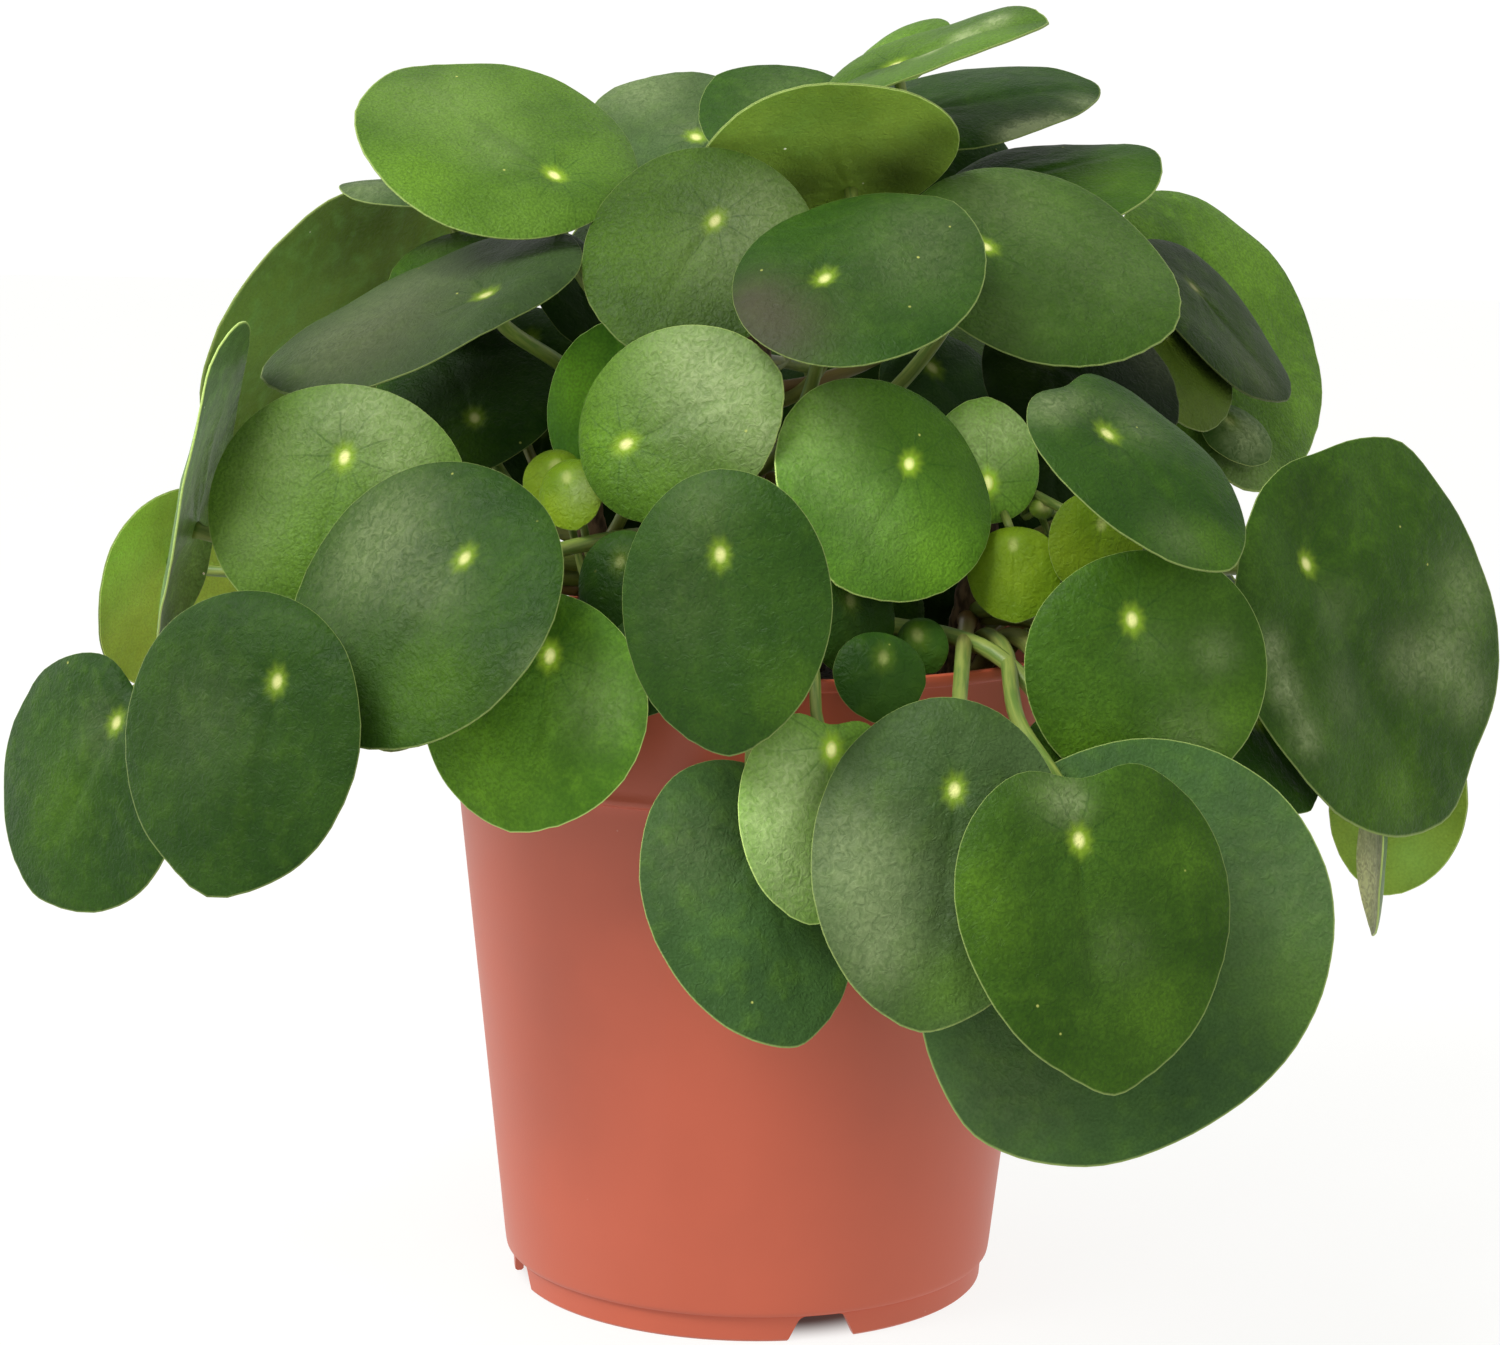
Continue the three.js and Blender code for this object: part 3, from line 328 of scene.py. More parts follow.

# Small or half hidden leaves in the shade between the large ones, which only the scene has.
# Most are darkened by a low glow, which is painted shade.
SMALL_LEAVES = [
    entry("top_young", "main", "mid", (21, 19), 150, (17.4, 30, 253.6), (5, 38), root_at=226, glow=1.7,
          mottle=0.5),
    entry("shade_low", "right", "mid", (24, 21), 10, (28.1, -10, 166.5), (15, 20), root_at=152),
    entry("left_shade_back", "left", "dark", (34, 31), -20, (-56.8, 37, 220.3), (-15, 30), root_at=178,
          glow=0.7),
    entry("top_shade", "main", "dark", (32, 30), 10, (47.1, 84, 270), (0, 40), root_at=222, glow=0.7),
    entry("upper_edge_on", "main", "shade", (30, 22), 10, (-46.4, 20, 239.8), (35, 25), root_at=212,
          glow=0.5),
    entry("left_heart_shade", "left", "shade", (34, 32), -10, (-52, 18, 200), (-10, 20), root_at=172,
          glow=0.45),
    entry("middle_shade", "main", "shade", (34, 30), 10, (-34, 22, 186), (-5, 20), root_at=164,
          glow=0.5),
    entry("right_heart_shade", "right", "shade", (36, 33), 0, (68.2, -6.8, 197.9), (5, 20), root_at=172,
          glow=0.4),
    entry("right_low_shade", "right", "shade", (26, 33), -10, (69, 2, 175), (0, 20), root_at=158,
          glow=0.7),
    entry("right_grey_small", "right", "shade", (20, 17), 40, (117, 58, 202), (20, 40), root_at=170,
          glow=1.3, sheen=[(6, 0, 7, 0.8)]),
    entry("behind_stem_shade", "main", "shade", (38, 34), 10, (18.7, 59, 213.7), (0, 15), root_at=218,
          glow=0.5),
    # This dark leaf stands in for the shade on the pot's inner rim behind it.
    entry("inner_rim_shade", "main", "shade", (24, 30), 10, (43.8, 30, 162.5), (0, 15), root_at=162,
          glow=0.4),
    entry("over_rim_low", "main", "mid", (28, 26), 0, (68.6, -72.9, 141.7), (30, 20), stalk=1.9,
          root_at=160),
]

# The kinds of spot on a blade: painted sheen, the skin's own blush, painted shade, and fresh green.
SPOT_KINDS = ("sheen", "blush", "shade", "fresh")

# Each tone of leaf: its dark and light greens, its roughness, how clearly the hub and its veins
# show, and the record's slot.
TONES = {
    "mid": ("31520f", "416519", 0.42, 1, "leaf_mid_green"),
    "dark": ("284a12", "365a18", 0.42, 0.9, "leaf_dark_green"),
    "deep": ("355228", "41622f", 0.5, 0.9, "leaf_blue_green"),
    "light": ("45671c", "5d812a", 0.4, 1, "leaf_light_green"),
    "grey": ("3b5328", "4b6437", 0.42, 0.9, "leaf_grey_green"),
    "olive": ("566d22", "6c852f", 0.48, 0.4, "leaf_underside_olive"),
    "young": ("5f8012", "84a01f", 0.4, 0.3, "young_leaf"),
    "shade": ("284a12", "365a18", 0.42, 0.22, "young_leaf"),
}


# ---- small helpers ------------------------------------------------------------------------

def linear(code):
    """An sRGB hex colour as the linear colour that Blender's sockets take."""
    parts = [int(code[i:i + 2], 16) / 255 for i in (0, 2, 4)]
    curved = [part / 12.92 if part <= 0.04045 else ((part + 0.055) / 1.055) ** 2.4 for part in parts]
    return curved + [1.0]


def lerp(a, b, t):
    """The value a share t of the way from a to b."""
    return a + (b - a) * t


def clamp(value):
    """The value, kept between 0 and 1."""
    return max(0.0, min(1.0, value))


def bump_curve(value, width):
    """1 at nought, falling smoothly to 0 over about two widths on either side."""
    return math.exp(-((value / width) ** 2))


def work_on(*objects):
    """Selects only these objects, and makes the first one active."""
    bpy.ops.object.select_all(action="DESELECT")
    for each in objects:
        each.select_set(True)
    bpy.context.view_layer.objects.active = objects[0]


def edit(obj):
    """Opens the object in edit mode with all of it selected."""
    work_on(obj)
    bpy.ops.object.mode_set(mode="EDIT")
    bpy.ops.mesh.select_all(action="SELECT")


def leave_edit():
    """Closes edit mode."""
    bpy.ops.object.mode_set(mode="OBJECT")


def extrude(step=(0, 0, 0)):
    """Extrudes the selection in edit mode and moves it by a step."""
    bpy.ops.mesh.extrude_region_move(TRANSFORM_OT_translate={"value": step})


def close_end():
    """Closes the selected ring of edges with a fan of faces to its middle."""
    extrude()
    bpy.ops.mesh.merge(type="CENTER")


def select_vertices(obj, wanted):
    """Selects the vertices that pass a test, in edit mode, and what lies wholly between them."""
    bpy.ops.mesh.select_all(action="DESELECT")
    mesh = bmesh.from_edit_mesh(obj.data)
    mesh.select_mode = {"VERT"}
    for vertex in mesh.verts:
        vertex.select = wanted(vertex)
    mesh.select_flush(True)
    bmesh.update_edit_mesh(obj.data)


def face_outward():
    """Turns all faces of the mesh in edit mode outward."""
    bpy.ops.mesh.select_all(action="SELECT")
    bpy.ops.mesh.normals_make_consistent(inside=False)


def apply_modifier(obj, kind, **settings):
    """Adds a modifier with its settings, and applies it."""
    work_on(obj)
    modifier = obj.modifiers.new(kind.title(), kind)
    for name, value in settings.items():
        setattr(modifier, name, value)
    bpy.ops.object.modifier_apply(modifier=modifier.name)


def copy_of(template):
    """A copy with a mesh of its own."""
    made = template.copy()
    made.data = template.data.copy()
    bpy.context.scene.collection.objects.link(made)
    return made


def discard(obj):
    """Removes a helper object and its mesh."""
    mesh = obj.data
    bpy.data.objects.remove(obj)
    bpy.data.meshes.remove(mesh)


def join(parts):
    """Joins the objects into the first one."""
    work_on(*parts)
    bpy.ops.object.join()
    return parts[0]


def set_places(obj, places):
    """Puts the mesh's vertices at these places, given in millimetres."""
    flat = [part * MM for place in places for part in place]
    obj.data.vertices.foreach_set("co", flat)
    obj.data.update()


def set_attribute(obj, name, values):
    """Keeps a vector for each vertex, which materials read by its name."""
    found = obj.data.attributes.get(name) or obj.data.attributes.new(name, "FLOAT_VECTOR", "POINT")
    found.data.foreach_set("vector", [part for value in values for part in value])


def finish_piece(obj, name, slot, *nodes):
    """Names a finished piece, shades it smooth, sets it to ride on the root, and hides the part's
    nodes that it stands for. The slot is not used.
    """
    obj.name = name
    obj.data.name = name
    work_on(obj)
    bpy.ops.object.shade_smooth()
    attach(obj, "root")
    if nodes:
        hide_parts(*nodes)


# ---- materials ----------------------------------------------------------------------------

# Settings that many nodes share: a colour mix with its output, and a smooth change of range.
BLEND = {"data_type": "RGBA", "output": 2}
SMOOTH = {"interpolation_type": "SMOOTHSTEP"}
EVERY = slice(None)


def set_inputs(tree, node, inputs):
    """Sets a node's inputs. Each is a value, or another node's output to link."""
    for socket, value in inputs.items():
        if isinstance(value, bpy.types.NodeSocket):
            tree.links.new(value, node.inputs[socket])
        else:
            node.inputs[socket].default_value = value


def add_node(tree, kind, inputs=None, output=0, **settings):
    """Adds a node with its settings and inputs, and gives one of its outputs, or all of them."""
    made = tree.nodes.new("ShaderNode" + kind)
    for name, value in settings.items():
        setattr(made, name, value)
    set_inputs(tree, made, inputs or {})
    return made.outputs[output]


def new_material(name, **values):
    """A material, its node tree and its Principled shader, with values for the shader's sockets."""
    made = bpy.data.materials.new(name)
    made.use_nodes = True
    shader = made.node_tree.nodes["Principled BSDF"]
    inputs = {socket.replace("_", " "): value for socket, value in values.items()}
    set_inputs(made.node_tree, shader, inputs)
    return made, made.node_tree, shader


def per_mm(size):
    """The scale that gives a pattern features of this size in millimetres."""
    return 1 / (size * MM)


def blade_material(name, dark, light, roughness, clear, under, brightest):
    """The skin of a money plant's leaf: thick, smooth and waxy, finely grained like leather, with
    patches of painted milky sheen, a pale spot over the stalk, a few faint dark veins that run
    out from it, and a thin pale rim that is partly a painted highlight. Painted light and shade
    brighten or darken the whole. The underside is yellower, without hub or veins, and dotted white."""
    made, tree, shader = new_material(name, IOR=1.42, Specular_IOR_Level=0.15)
    node = partial(add_node, tree)
    place = node("Attribute", output="Vector", attribute_name="place")
    along, across, reach = node("SeparateXYZ", {0: place}, EVERY)
    marks = node("Attribute", output="Vector", attribute_name="marks")
    seed, mottle, fresh = node("SeparateXYZ", {0: marks}, EVERY)
    tints = node("Attribute", output="Vector", attribute_name="tints")
    sheen, blush, glow = node("SeparateXYZ", {0: tints}, EVERY)
    plane = node("VectorMath", {0: place, 1: (1, 1, 0)}, operation="MULTIPLY")
    radius = node("VectorMath", {0: plane}, "Value", operation="LENGTH")
    shift = node("CombineXYZ", {0: seed, 1: seed, 2: seed})
    own = node("VectorMath", {0: plane, 1: shift}, operation="ADD")

    # Cloudy greens, blotches, leathery wrinkles and a grain as fine as the picture can show.
    clouds = node("TexNoise", {"Vector": own, "Scale": per_mm(22), "Detail": 3})
    blotches = node("TexNoise", {"Vector": own, "Scale": per_mm(4.5), "Detail": 3})
    wrinkles = node("TexNoise", {"Vector": own, "Scale": per_mm(1.7), "Detail": 4, "Distortion": 1.4})
    grain = node("TexNoise", {"Vector": own, "Scale": per_mm(0.65), "Detail": 2})
    greener = node("MapRange", {0: clouds, 1: 0.3, 2: 0.7}, **SMOOTH)
    colour = node("Mix", {0: greener, 6: linear(dark), 7: light}, **BLEND)
    blotched = node("MapRange", {0: blotches, 1: 0.42, 2: 0.8}, **SMOOTH)
    blotched = node("Math", {0: blotched, 1: mottle}, operation="MULTIPLY")
    growth = node("Math", {0: blotched, 1: fresh}, operation="ADD", use_clamp=True)
    colour = node("Mix", {0: growth, 6: colour, 7: linear("6f9a45" if under else "6d9a24")}, **BLEND)
    grained = node("MapRange", {0: grain, 1: 0.36, 2: 0.64, 3: 0.3 * clear, 4: 0.0}, **SMOOTH)
    colour = node("Mix", {0: grained, 6: colour, 7: linear("1c360c")}, **BLEND)
    colour = node("Mix", {0: blush, 6: colour, 7: linear("54493f")}, **BLEND)

    # Painted sheen: milky pale spots that stand in for the light's reflection on the wax, broken up by
    # the wrinkles.
    broken = node("MapRange", {0: wrinkles, 1: 0.35, 2: 0.68, 3: 0.35, 4: 0.8})
    painted_sheen = node("Math", {0: sheen, 1: broken}, operation="MULTIPLY", use_clamp=True)
    colour = node("Mix", {0: painted_sheen, 6: colour, 7: linear("adbd86")}, **BLEND)

    if not under:
        # Nine hair veins run out from the hub, bending a little, and fade before half way.
        bent = node("TexNoise", {"Vector": own, "Scale": per_mm(11), "Detail": 2})
        turn = node("Math", {0: across, 1: along}, operation="ARCTAN2")
        wander = node("Math", {0: bent, 1: 1.3, 2: -0.65}, operation="MULTIPLY_ADD")
        phase = node("Math", {0: turn, 1: 4.5, 2: wander}, operation="MULTIPLY_ADD")
        wave = node("Math", {0: phase}, operation="SINE")
        beside = node("Math", {0: wave}, operation="ABSOLUTE")
        apart = node("Math", {0: beside, 1: radius}, operation="MULTIPLY")
        line = node("MapRange", {0: apart, 1: 0.3 * MM, 2: 1.5 * MM, 3: 0.34 * clear, 4: 0}, **SMOOTH)
        faded = node("MapRange", {0: radius, 1: 5 * MM, 2: 17 * MM, 3: 1, 4: 0}, **SMOOTH)
        veins = node("Math", {0: line, 1: faded}, operation="MULTIPLY")
        colour = node("Mix", {0: veins, 6: colour, 7: linear("1d4413")}, **BLEND)

        # The hub: a pale core in a yellow-green glow, drawn out towards the tip and along the veins.
        ahead = node("Math", {0: along, 1: 0.74, 2: -0.3 * MM}, operation="MULTIPLY_ADD")
        hub_place = node("CombineXYZ", {0: ahead, 1: across})
        hub = node("VectorMath", {0: hub_place}, "Value", operation="LENGTH")
        starry = node("Math", {0: beside, 1: 0.18, 2: 0.88}, operation="MULTIPLY_ADD")
        star = node("Math", {0: hub, 1: starry}, operation="MULTIPLY")
        halo = node("MapRange", {0: star, 1: 0.6 * MM, 2: 3.7 * MM, 3: 0.88 * clear, 4: 0}, **SMOOTH)
        core = node("MapRange", {0: hub, 1: 0.4 * MM, 2: 1.7 * MM, 3: clear, 4: 0}, **SMOOTH)
        colour = node("Mix", {0: halo, 6: colour, 7: linear("93b52c")}, **BLEND)
        colour = node("Mix", {0: core, 6: colour, 7: linear("eef09c")}, **BLEND)

    # Sparse corky specks, and the thin pale rim: partly the leaf's own pale edge, partly a painted
    # highlight.
    scatter, picked = node("TexVoronoi", {"Vector": own, "Scale": per_mm(6)}, EVERY)[:2]
    lone = node("SeparateXYZ", {0: picked})
    dot = node("MapRange", {0: scatter, 1: 0.03, 2: 0.07, 3: 1, 4: 0}, **SMOOTH)
    fewest = 0.72 if under else 0.9
    chosen = node("MapRange", {0: lone, 1: fewest, 2: fewest + 0.02}, **SMOOTH)
    specks = node("Math", {0: dot, 1: chosen}, operation="MULTIPLY")
    colour = node("Mix", {0: specks, 6: colour, 7: linear("d5d9b8" if under else "b9bf62")}, **BLEND)
    rim = node("MapRange", {0: reach, 1: 0.988, 2: 0.9985, 3: 0, 4: 0.75}, **SMOOTH)
    colour = node("Mix", {0: rim, 6: colour, 7: linear("a3b868")}, **BLEND)
    # Painted light and shade: the whole colour is scaled by the leaf's glow, which stands partly for its
    # own tone and partly for how much light falls on it.
    capped = node("Math", {0: glow, 1: brightest}, operation="MINIMUM")
    colour = node("VectorMath", {0: colour, "Scale": capped}, operation="SCALE")

    shine = node("MapRange", {0: clouds, 1: 0.25, 2: 0.75, 3: roughness - 0.05, 4: roughness + 0.08})
    relief = node("Math", {0: grain, 1: 0.22, 2: wrinkles}, operation="MULTIPLY_ADD")
    relief = node("Math", {0: blotches, 1: 1.4, 2: relief}, operation="MULTIPLY_ADD")
    skin = node("Bump", {"Height": relief, "Distance": 0.42 * MM, "Strength": 0.9}, "Normal")
    set_inputs(tree, shader, {"Base Color": colour, "Roughness": shine, "Normal": skin})
    return made


def stalk_material():
    """A fleshy leaf stalk: smooth and half shiny, yellow-green, browner where it leaves the stem."""
    made, tree, shader = new_material("fleshy_leaf_stalk", IOR=1.42, Roughness=0.42)
    node = partial(add_node, tree)
    place = node("Attribute", output="Vector", attribute_name="place")
    marks = node("Attribute", output="Vector", attribute_name="marks")
    share = node("SeparateXYZ", {0: place})
    seed = node("SeparateXYZ", {0: marks})
    shifted = node("VectorMath", {0: place, 1: marks}, operation="ADD")
    streaks = node("TexNoise", {"Vector": shifted, "Scale": 9, "Detail": 3})
    paler = node("MapRange", {0: streaks, 1: 0.3, 2: 0.7}, **SMOOTH)
    colour = node("Mix", {0: paler, 6: linear("688738"), 7: linear("99a851")}, **BLEND)
    brownest = node("MapRange", {0: seed, 1: 0.25, 2: 0.9, 3: 0.15, 4: 0.9})
    root = node("MapRange", {0: share, 1: 0.0, 2: 0.6, 3: 1, 4: 0}, **SMOOTH)
    browned = node("Math", {0: root, 1: brownest}, operation="MULTIPLY")
    colour = node("Mix", {0: browned, 6: colour, 7: linear("966a48")}, **BLEND)
    skin = node("Bump", {"Height": streaks, "Distance": 0.15 * MM, "Strength": 0.6}, "Normal")
    set_inputs(tree, shader, {"Base Color": colour, "Normal": skin})
    return made


def bark_material():
    """The woody lower stem of a money plant: dull, brown and finely cracked, green in patches."""
    made, tree, shader = new_material("corky_stem_bark", Roughness=0.85)
    node = partial(add_node, tree)
    spot = node("TexCoord", output="Object")
    drawn = node("Mapping", {"Vector": spot, "Scale": (1, 1, 0.35)})
    cracks = node("TexNoise", {"Vector": drawn, "Scale": per_mm(1.5), "Detail": 5})
    clouds = node("TexNoise", {"Vector": spot, "Scale": per_mm(9), "Detail": 2})
    paler = node("MapRange", {0: cracks, 1: 0.35, 2: 0.65}, **SMOOTH)
    colour = node("Mix", {0: paler, 6: linear("43301f"), 7: linear("80634a")}, **BLEND)
    greener = node("MapRange", {0: clouds, 1: 0.5, 2: 0.7, 3: 0, 4: 0.6}, **SMOOTH)
    colour = node("Mix", {0: greener, 6: colour, 7: linear("75733c")}, **BLEND)
    ridges = node("Bump", {"Height": cracks, "Distance": 0.5 * MM, "Strength": 0.9}, "Normal")
    set_inputs(tree, shader, {"Base Color": colour, "Normal": ridges})
    return made


def soil_material():
    """Damp peat-based potting soil: nearly black brown crumbs with paler fibres, with no shine."""
    made, tree, shader = new_material("peat_potting_soil", Roughness=0.95)
    node = partial(add_node, tree)
    spot = node("TexCoord", output="Object")
    crumbs = node("TexNoise", {"Vector": spot, "Scale": per_mm(1.6), "Detail": 6})
    paler = node("MapRange", {0: crumbs, 1: 0.35, 2: 0.7}, **SMOOTH)
    colour = node("Mix", {0: paler, 6: linear("1b120d"), 7: linear("453124")}, **BLEND)
    rough = node("Bump", {"Height": crumbs, "Distance": 1.0 * MM, "Strength": 1.0}, "Normal")
    set_inputs(tree, shader, {"Base Color": colour, "Normal": rough})
    return made


def pot_material(base):
    """Injection-moulded polypropylene in terracotta: an even satin skin with a very fine grain,
    a slightly cloudy sheen and a few pale specks of dust."""
    made, tree, shader = new_material("moulded_terracotta_plastic", IOR=1.49)
    node = partial(add_node, tree)
    spot = node("TexCoord", output="Object")
    clouds = node("TexNoise", {"Vector": spot, "Scale": per_mm(38), "Detail": 3})
    grain = node("TexNoise", {"Vector": spot, "Scale": per_mm(0.7), "Detail": 3})
    scatter, picked = node("TexVoronoi", {"Vector": spot, "Scale": per_mm(6)}, EVERY)[:2]
    lone = node("SeparateXYZ", {0: picked})
    dot = node("MapRange", {0: scatter, 1: 0.02, 2: 0.05, 3: 0.4, 4: 0}, **SMOOTH)
    chosen = node("MapRange", {0: lone, 1: 0.86, 2: 0.9}, **SMOOTH)
    dust = node("Math", {0: dot, 1: chosen}, operation="MULTIPLY")
    cloudy = node("MapRange", {0: clouds, 1: 0.3, 2: 0.7}, **SMOOTH)
    darker = [part * 0.93 for part in base[:3]] + [1]
    colour = node("Mix", {0: cloudy, 6: darker, 7: base}, **BLEND)
    colour = node("Mix", {0: dust, 6: colour, 7: linear("dfa48f")}, **BLEND)
    shine = node("MapRange", {0: clouds, 1: 0.25, 2: 0.75, 3: 0.38, 4: 0.48})
    skin = node("Bump", {"Height": grain, "Distance": 0.05 * MM, "Strength": 0.5}, "Normal")
    set_inputs(tree, shader, {"Base Color": colour, "Roughness": shine, "Normal": skin})
    return made


# ---- the forms that repeat ----------------------------------------------------------------

def unit_disc():
    """A flat disc of radius 1 in rings, which every blade is copied from."""
    bpy.ops.object.select_all(action="DESELECT")
    bpy.ops.mesh.primitive_circle_add(vertices=BLADE_SIDES, radius=1, fill_type="NOTHING")
    disc = bpy.context.object
    edit(disc)
    outer = BLADE_REACHES[0]
    for reach in BLADE_REACHES[1:]:
        extrude()
        bpy.ops.transform.resize(value=(reach / outer, reach / outer, 1), center_override=(0, 0, 0))
        outer = reach
    close_end()
    if bmesh.from_edit_mesh(disc.data).faces[:][0].normal.z < 0:
        bpy.ops.mesh.select_all(action="SELECT")
        bpy.ops.mesh.flip_normals()
    leave_edit()
    return disc


def unit_tube(sides, rings):
    """A closed tube of radius 1 from z = 0 to 1, which stalks and stems are copied from."""
    bpy.ops.object.select_all(action="DESELECT")
    bpy.ops.mesh.primitive_circle_add(vertices=sides, radius=1, fill_type="NOTHING")
    tube = bpy.context.object
    edit(tube)
    for _ in range(rings - 1):
        extrude((0, 0, 1 / (rings - 1)))
    for height in (0, 1):
        select_vertices(tube, lambda vertex: abs(vertex.co.z - height) < 0.01 / rings)
        close_end()
    face_outward()
    leave_edit()
    return tube


# ---- leaves -------------------------------------------------------------------------------

def blade_frame(leaf):
    """The three directions of a blade: out of its face, towards its tip, and across it."""
    azimuth, elevation = (math.radians(angle) for angle in leaf["face"])
    flat = math.cos(elevation)
    out = Vector((math.sin(azimuth) * flat, -math.cos(azimuth) * flat, math.sin(elevation)))
    up = (Vector((0, 0, 1)) - out * out.z).normalized()
    right = up.cross(out)
    turn = math.radians(leaf["tip"])
    tip = right * math.sin(turn) - up * math.cos(turn)
    return out, tip, out.cross(tip)


def blade_edge(leaf, angle):
    """The blade's edge at an angle from its tip, as distances towards the tip and across."""
    length, width = leaf["size"]
    turn = abs(math.atan2(math.sin(angle), math.cos(angle)))
    point = leaf.get("point", TIP_POINT) * length * bump_curve(turn, TIP_SPREAD)
    cleft = leaf.get("notch", 0) * bump_curve(math.pi - turn, NOTCH_SPREAD)
    middle = (0.5 - leaf.get("hub_at", HUB_AT)) * length
    half = (0.5 - TIP_POINT / 2) * length
    along = middle + half * math.cos(angle) + point + cleft
    egg = 1 - leaf.get("egg", EGG_SHAPE) * math.cos(angle)
    across = leaf.get("side", 0) + 0.5 * width * math.sin(angle) * egg
    return along, across


def blade_rise(leaf, angle, reach):
    """How far the blade's middle surface stands out of its plane, as in the part."""
    length, width = leaf["size"]
    along, across = blade_edge(leaf, angle)
    cup = LEAF_CUP * reach * reach
    fold = leaf.get("fold", 0) * abs(across * reach) / (width / 2)
    wave = WAVE_HEIGHT * length * reach * reach * math.cos(3 * angle + leaf["hub"][0])
    return cup + fold + wave


def blade_relief(leaf, seed, angle, reach, along, across):
    """The finer swells, creases and dimple that the part's few faces leave out, in millimetres."""
    length = leaf["size"][0]
    scale = length / SET_LENGTH
    radius = math.hypot(along, across)
    clear = 1 - bump_curve(radius, 4 * scale)
    dimple = HUB_DIMPLE * scale * bump_curve(radius, 3.4 * scale)
    depth = -0.5 if along > 0 else -0.2
    crease = depth * scale * bump_curve(across, 1.8 * scale) * (1 - reach ** 3)
    ring = bump_curve(radius - 8 * scale, 5 * scale)
    rays = 0.12 * scale * math.sin(7 * angle + 9 * seed) * ring
    spot = Vector((along / 22, across / 22, 40 * seed))
    swell = 1.3 * scale * noise.noise(spot)
    ripple = 0.16 * scale * noise.noise(spot * 3.2)
    curl = -0.8 * scale * reach ** 7
    return dimple + clear * (crease + rays + swell + ripple) + curl


def edge_teeth(leaf, seed, angle):
    """The faint scallops round a blade, in millimetres: strongest near the tip."""
    size = sum(leaf["size"]) / 4
    place = Vector((math.cos(angle) * 1.5, math.sin(angle) * 1.5, 20 * seed))
    strength = clamp(0.5 + 1.6 * noise.noise(place * 1.7))
    scallop = math.cos(2 * angle * round(size / 1.8)) * strength
    uneven = noise.noise(place) * 0.5 + noise.noise(place * 3) * 0.22
    return 0.13 * scallop * (0.6 + 0.4 * math.cos(angle)) + uneven * size / 45


def edge_swell(leaf, angle):
    """Where this blade's edge stands out of the smooth egg form, or falls in, in millimetres."""
    total = 0.0
    for direction, height, spread in leaf.get("corners", []):
        away = math.remainder(angle - math.radians(direction), 2 * math.pi)
        total += height * bump_curve(away, math.radians(spread))
    return total


def blade_spot_strengths(leaf, along, across):
    """How strongly each kind of spot shows at a place on the blade: painted sheen, the skin's own
    blush, painted shade and fresh green.
    """
    tints = dict.fromkeys(SPOT_KINDS, 0.0)
    for kind in SPOT_KINDS:
        for spot_along, spot_across, radius, strength in leaf.get(kind, []):
            away = math.hypot(along - spot_along, across - spot_across)
            tints[kind] += strength * bump_curve(away, radius)
    return tints


def build_blade(disc, leaf, seed, materials, thickness):
    """One blade: the disc drawn to this leaf's outline and relief, then given its thickness."""
    out, tip, across_way = blade_frame(leaf)
    hub = Vector(leaf["hub"])
    blade = copy_of(disc)
    places = []
    fields = []
    tints = []
    marks = []
    for vertex in disc.data.vertices:
        reach = min(1.0, math.hypot(vertex.co.x, vertex.co.y))
        angle = math.atan2(vertex.co.y, vertex.co.x) if reach > 1e-4 else 0.0
        edge_along, edge_across = blade_edge(leaf, angle)
        swell = edge_teeth(leaf, seed, angle) * reach ** 5 + edge_swell(leaf, angle) * reach ** 2
        grow = 1 + swell / math.hypot(edge_along, edge_across)
        along = edge_along * reach * grow
        across = edge_across * reach * grow
        relief = blade_relief(leaf, seed, angle, reach, along, across)
        rise = blade_rise(leaf, angle, reach) + relief
        places.append(hub + tip * along + across_way * across + out * rise)
        fields.append((along * MM, across * MM, reach))
        spots = blade_spot_strengths(leaf, along, across)
        # Painted light: the leaf's glow, darkened by its spots of painted shade.
        lit = leaf.get("glow", 1) * (1 - spots["shade"])
        tints.append((spots["sheen"], spots["blush"], lit))
        marks.append((seed, leaf.get("mottle", MOTTLE), spots["fresh"]))
    set_places(blade, places)
    set_attribute(blade, "place", fields)
    set_attribute(blade, "tints", tints)
    set_attribute(blade, "marks", marks)
    rim = blade.vertex_groups.new(name="thickness")
    for vertex, field in zip(blade.data.vertices, fields):
        rim.add([vertex.index], 1 - RIM_THINNING * field[2] ** 4, "REPLACE")
    for each in materials:
        blade.data.materials.append(each)
    apply_modifier(blade, "SOLIDIFY", thickness=thickness, offset=0, vertex_group="thickness",
                   material_offset=1, material_offset_rim=0)
    apply_modifier(blade, "BEVEL", width=RIM_ROUNDING * thickness, segments=2, limit_method="ANGLE",
                   angle_limit=RIM_SHARP_ANGLE)
    blade.vertex_groups.clear()
    return blade


def stem_axis(stem, z):
    """The middle of a stem at a height."""
    top = stem["top"]
    bend = max(0.0, (z - SOIL_LEVEL) / (top[2] - SOIL_LEVEL))
    return Vector((lerp(stem["foot"][0], top[0], bend), lerp(stem["foot"][1], top[1], bend), z))


def stem_radius(stem, z):
    """A stem's radius at a height: it tapers to its top."""
    t = clamp((z - SOIL_LEVEL) / (stem["top"][2] - SOIL_LEVEL))
    return stem["radius"] * (1 - STEM_TAPER * t)


def stalk_radius(leaf):
    """A stalk is thicker the longer its blade is, unless the leaf says how thick."""
    return leaf.get("stalk", STALK_BASE_RADIUS + leaf["size"][0] * STALK_RADIUS_PER_LENGTH)


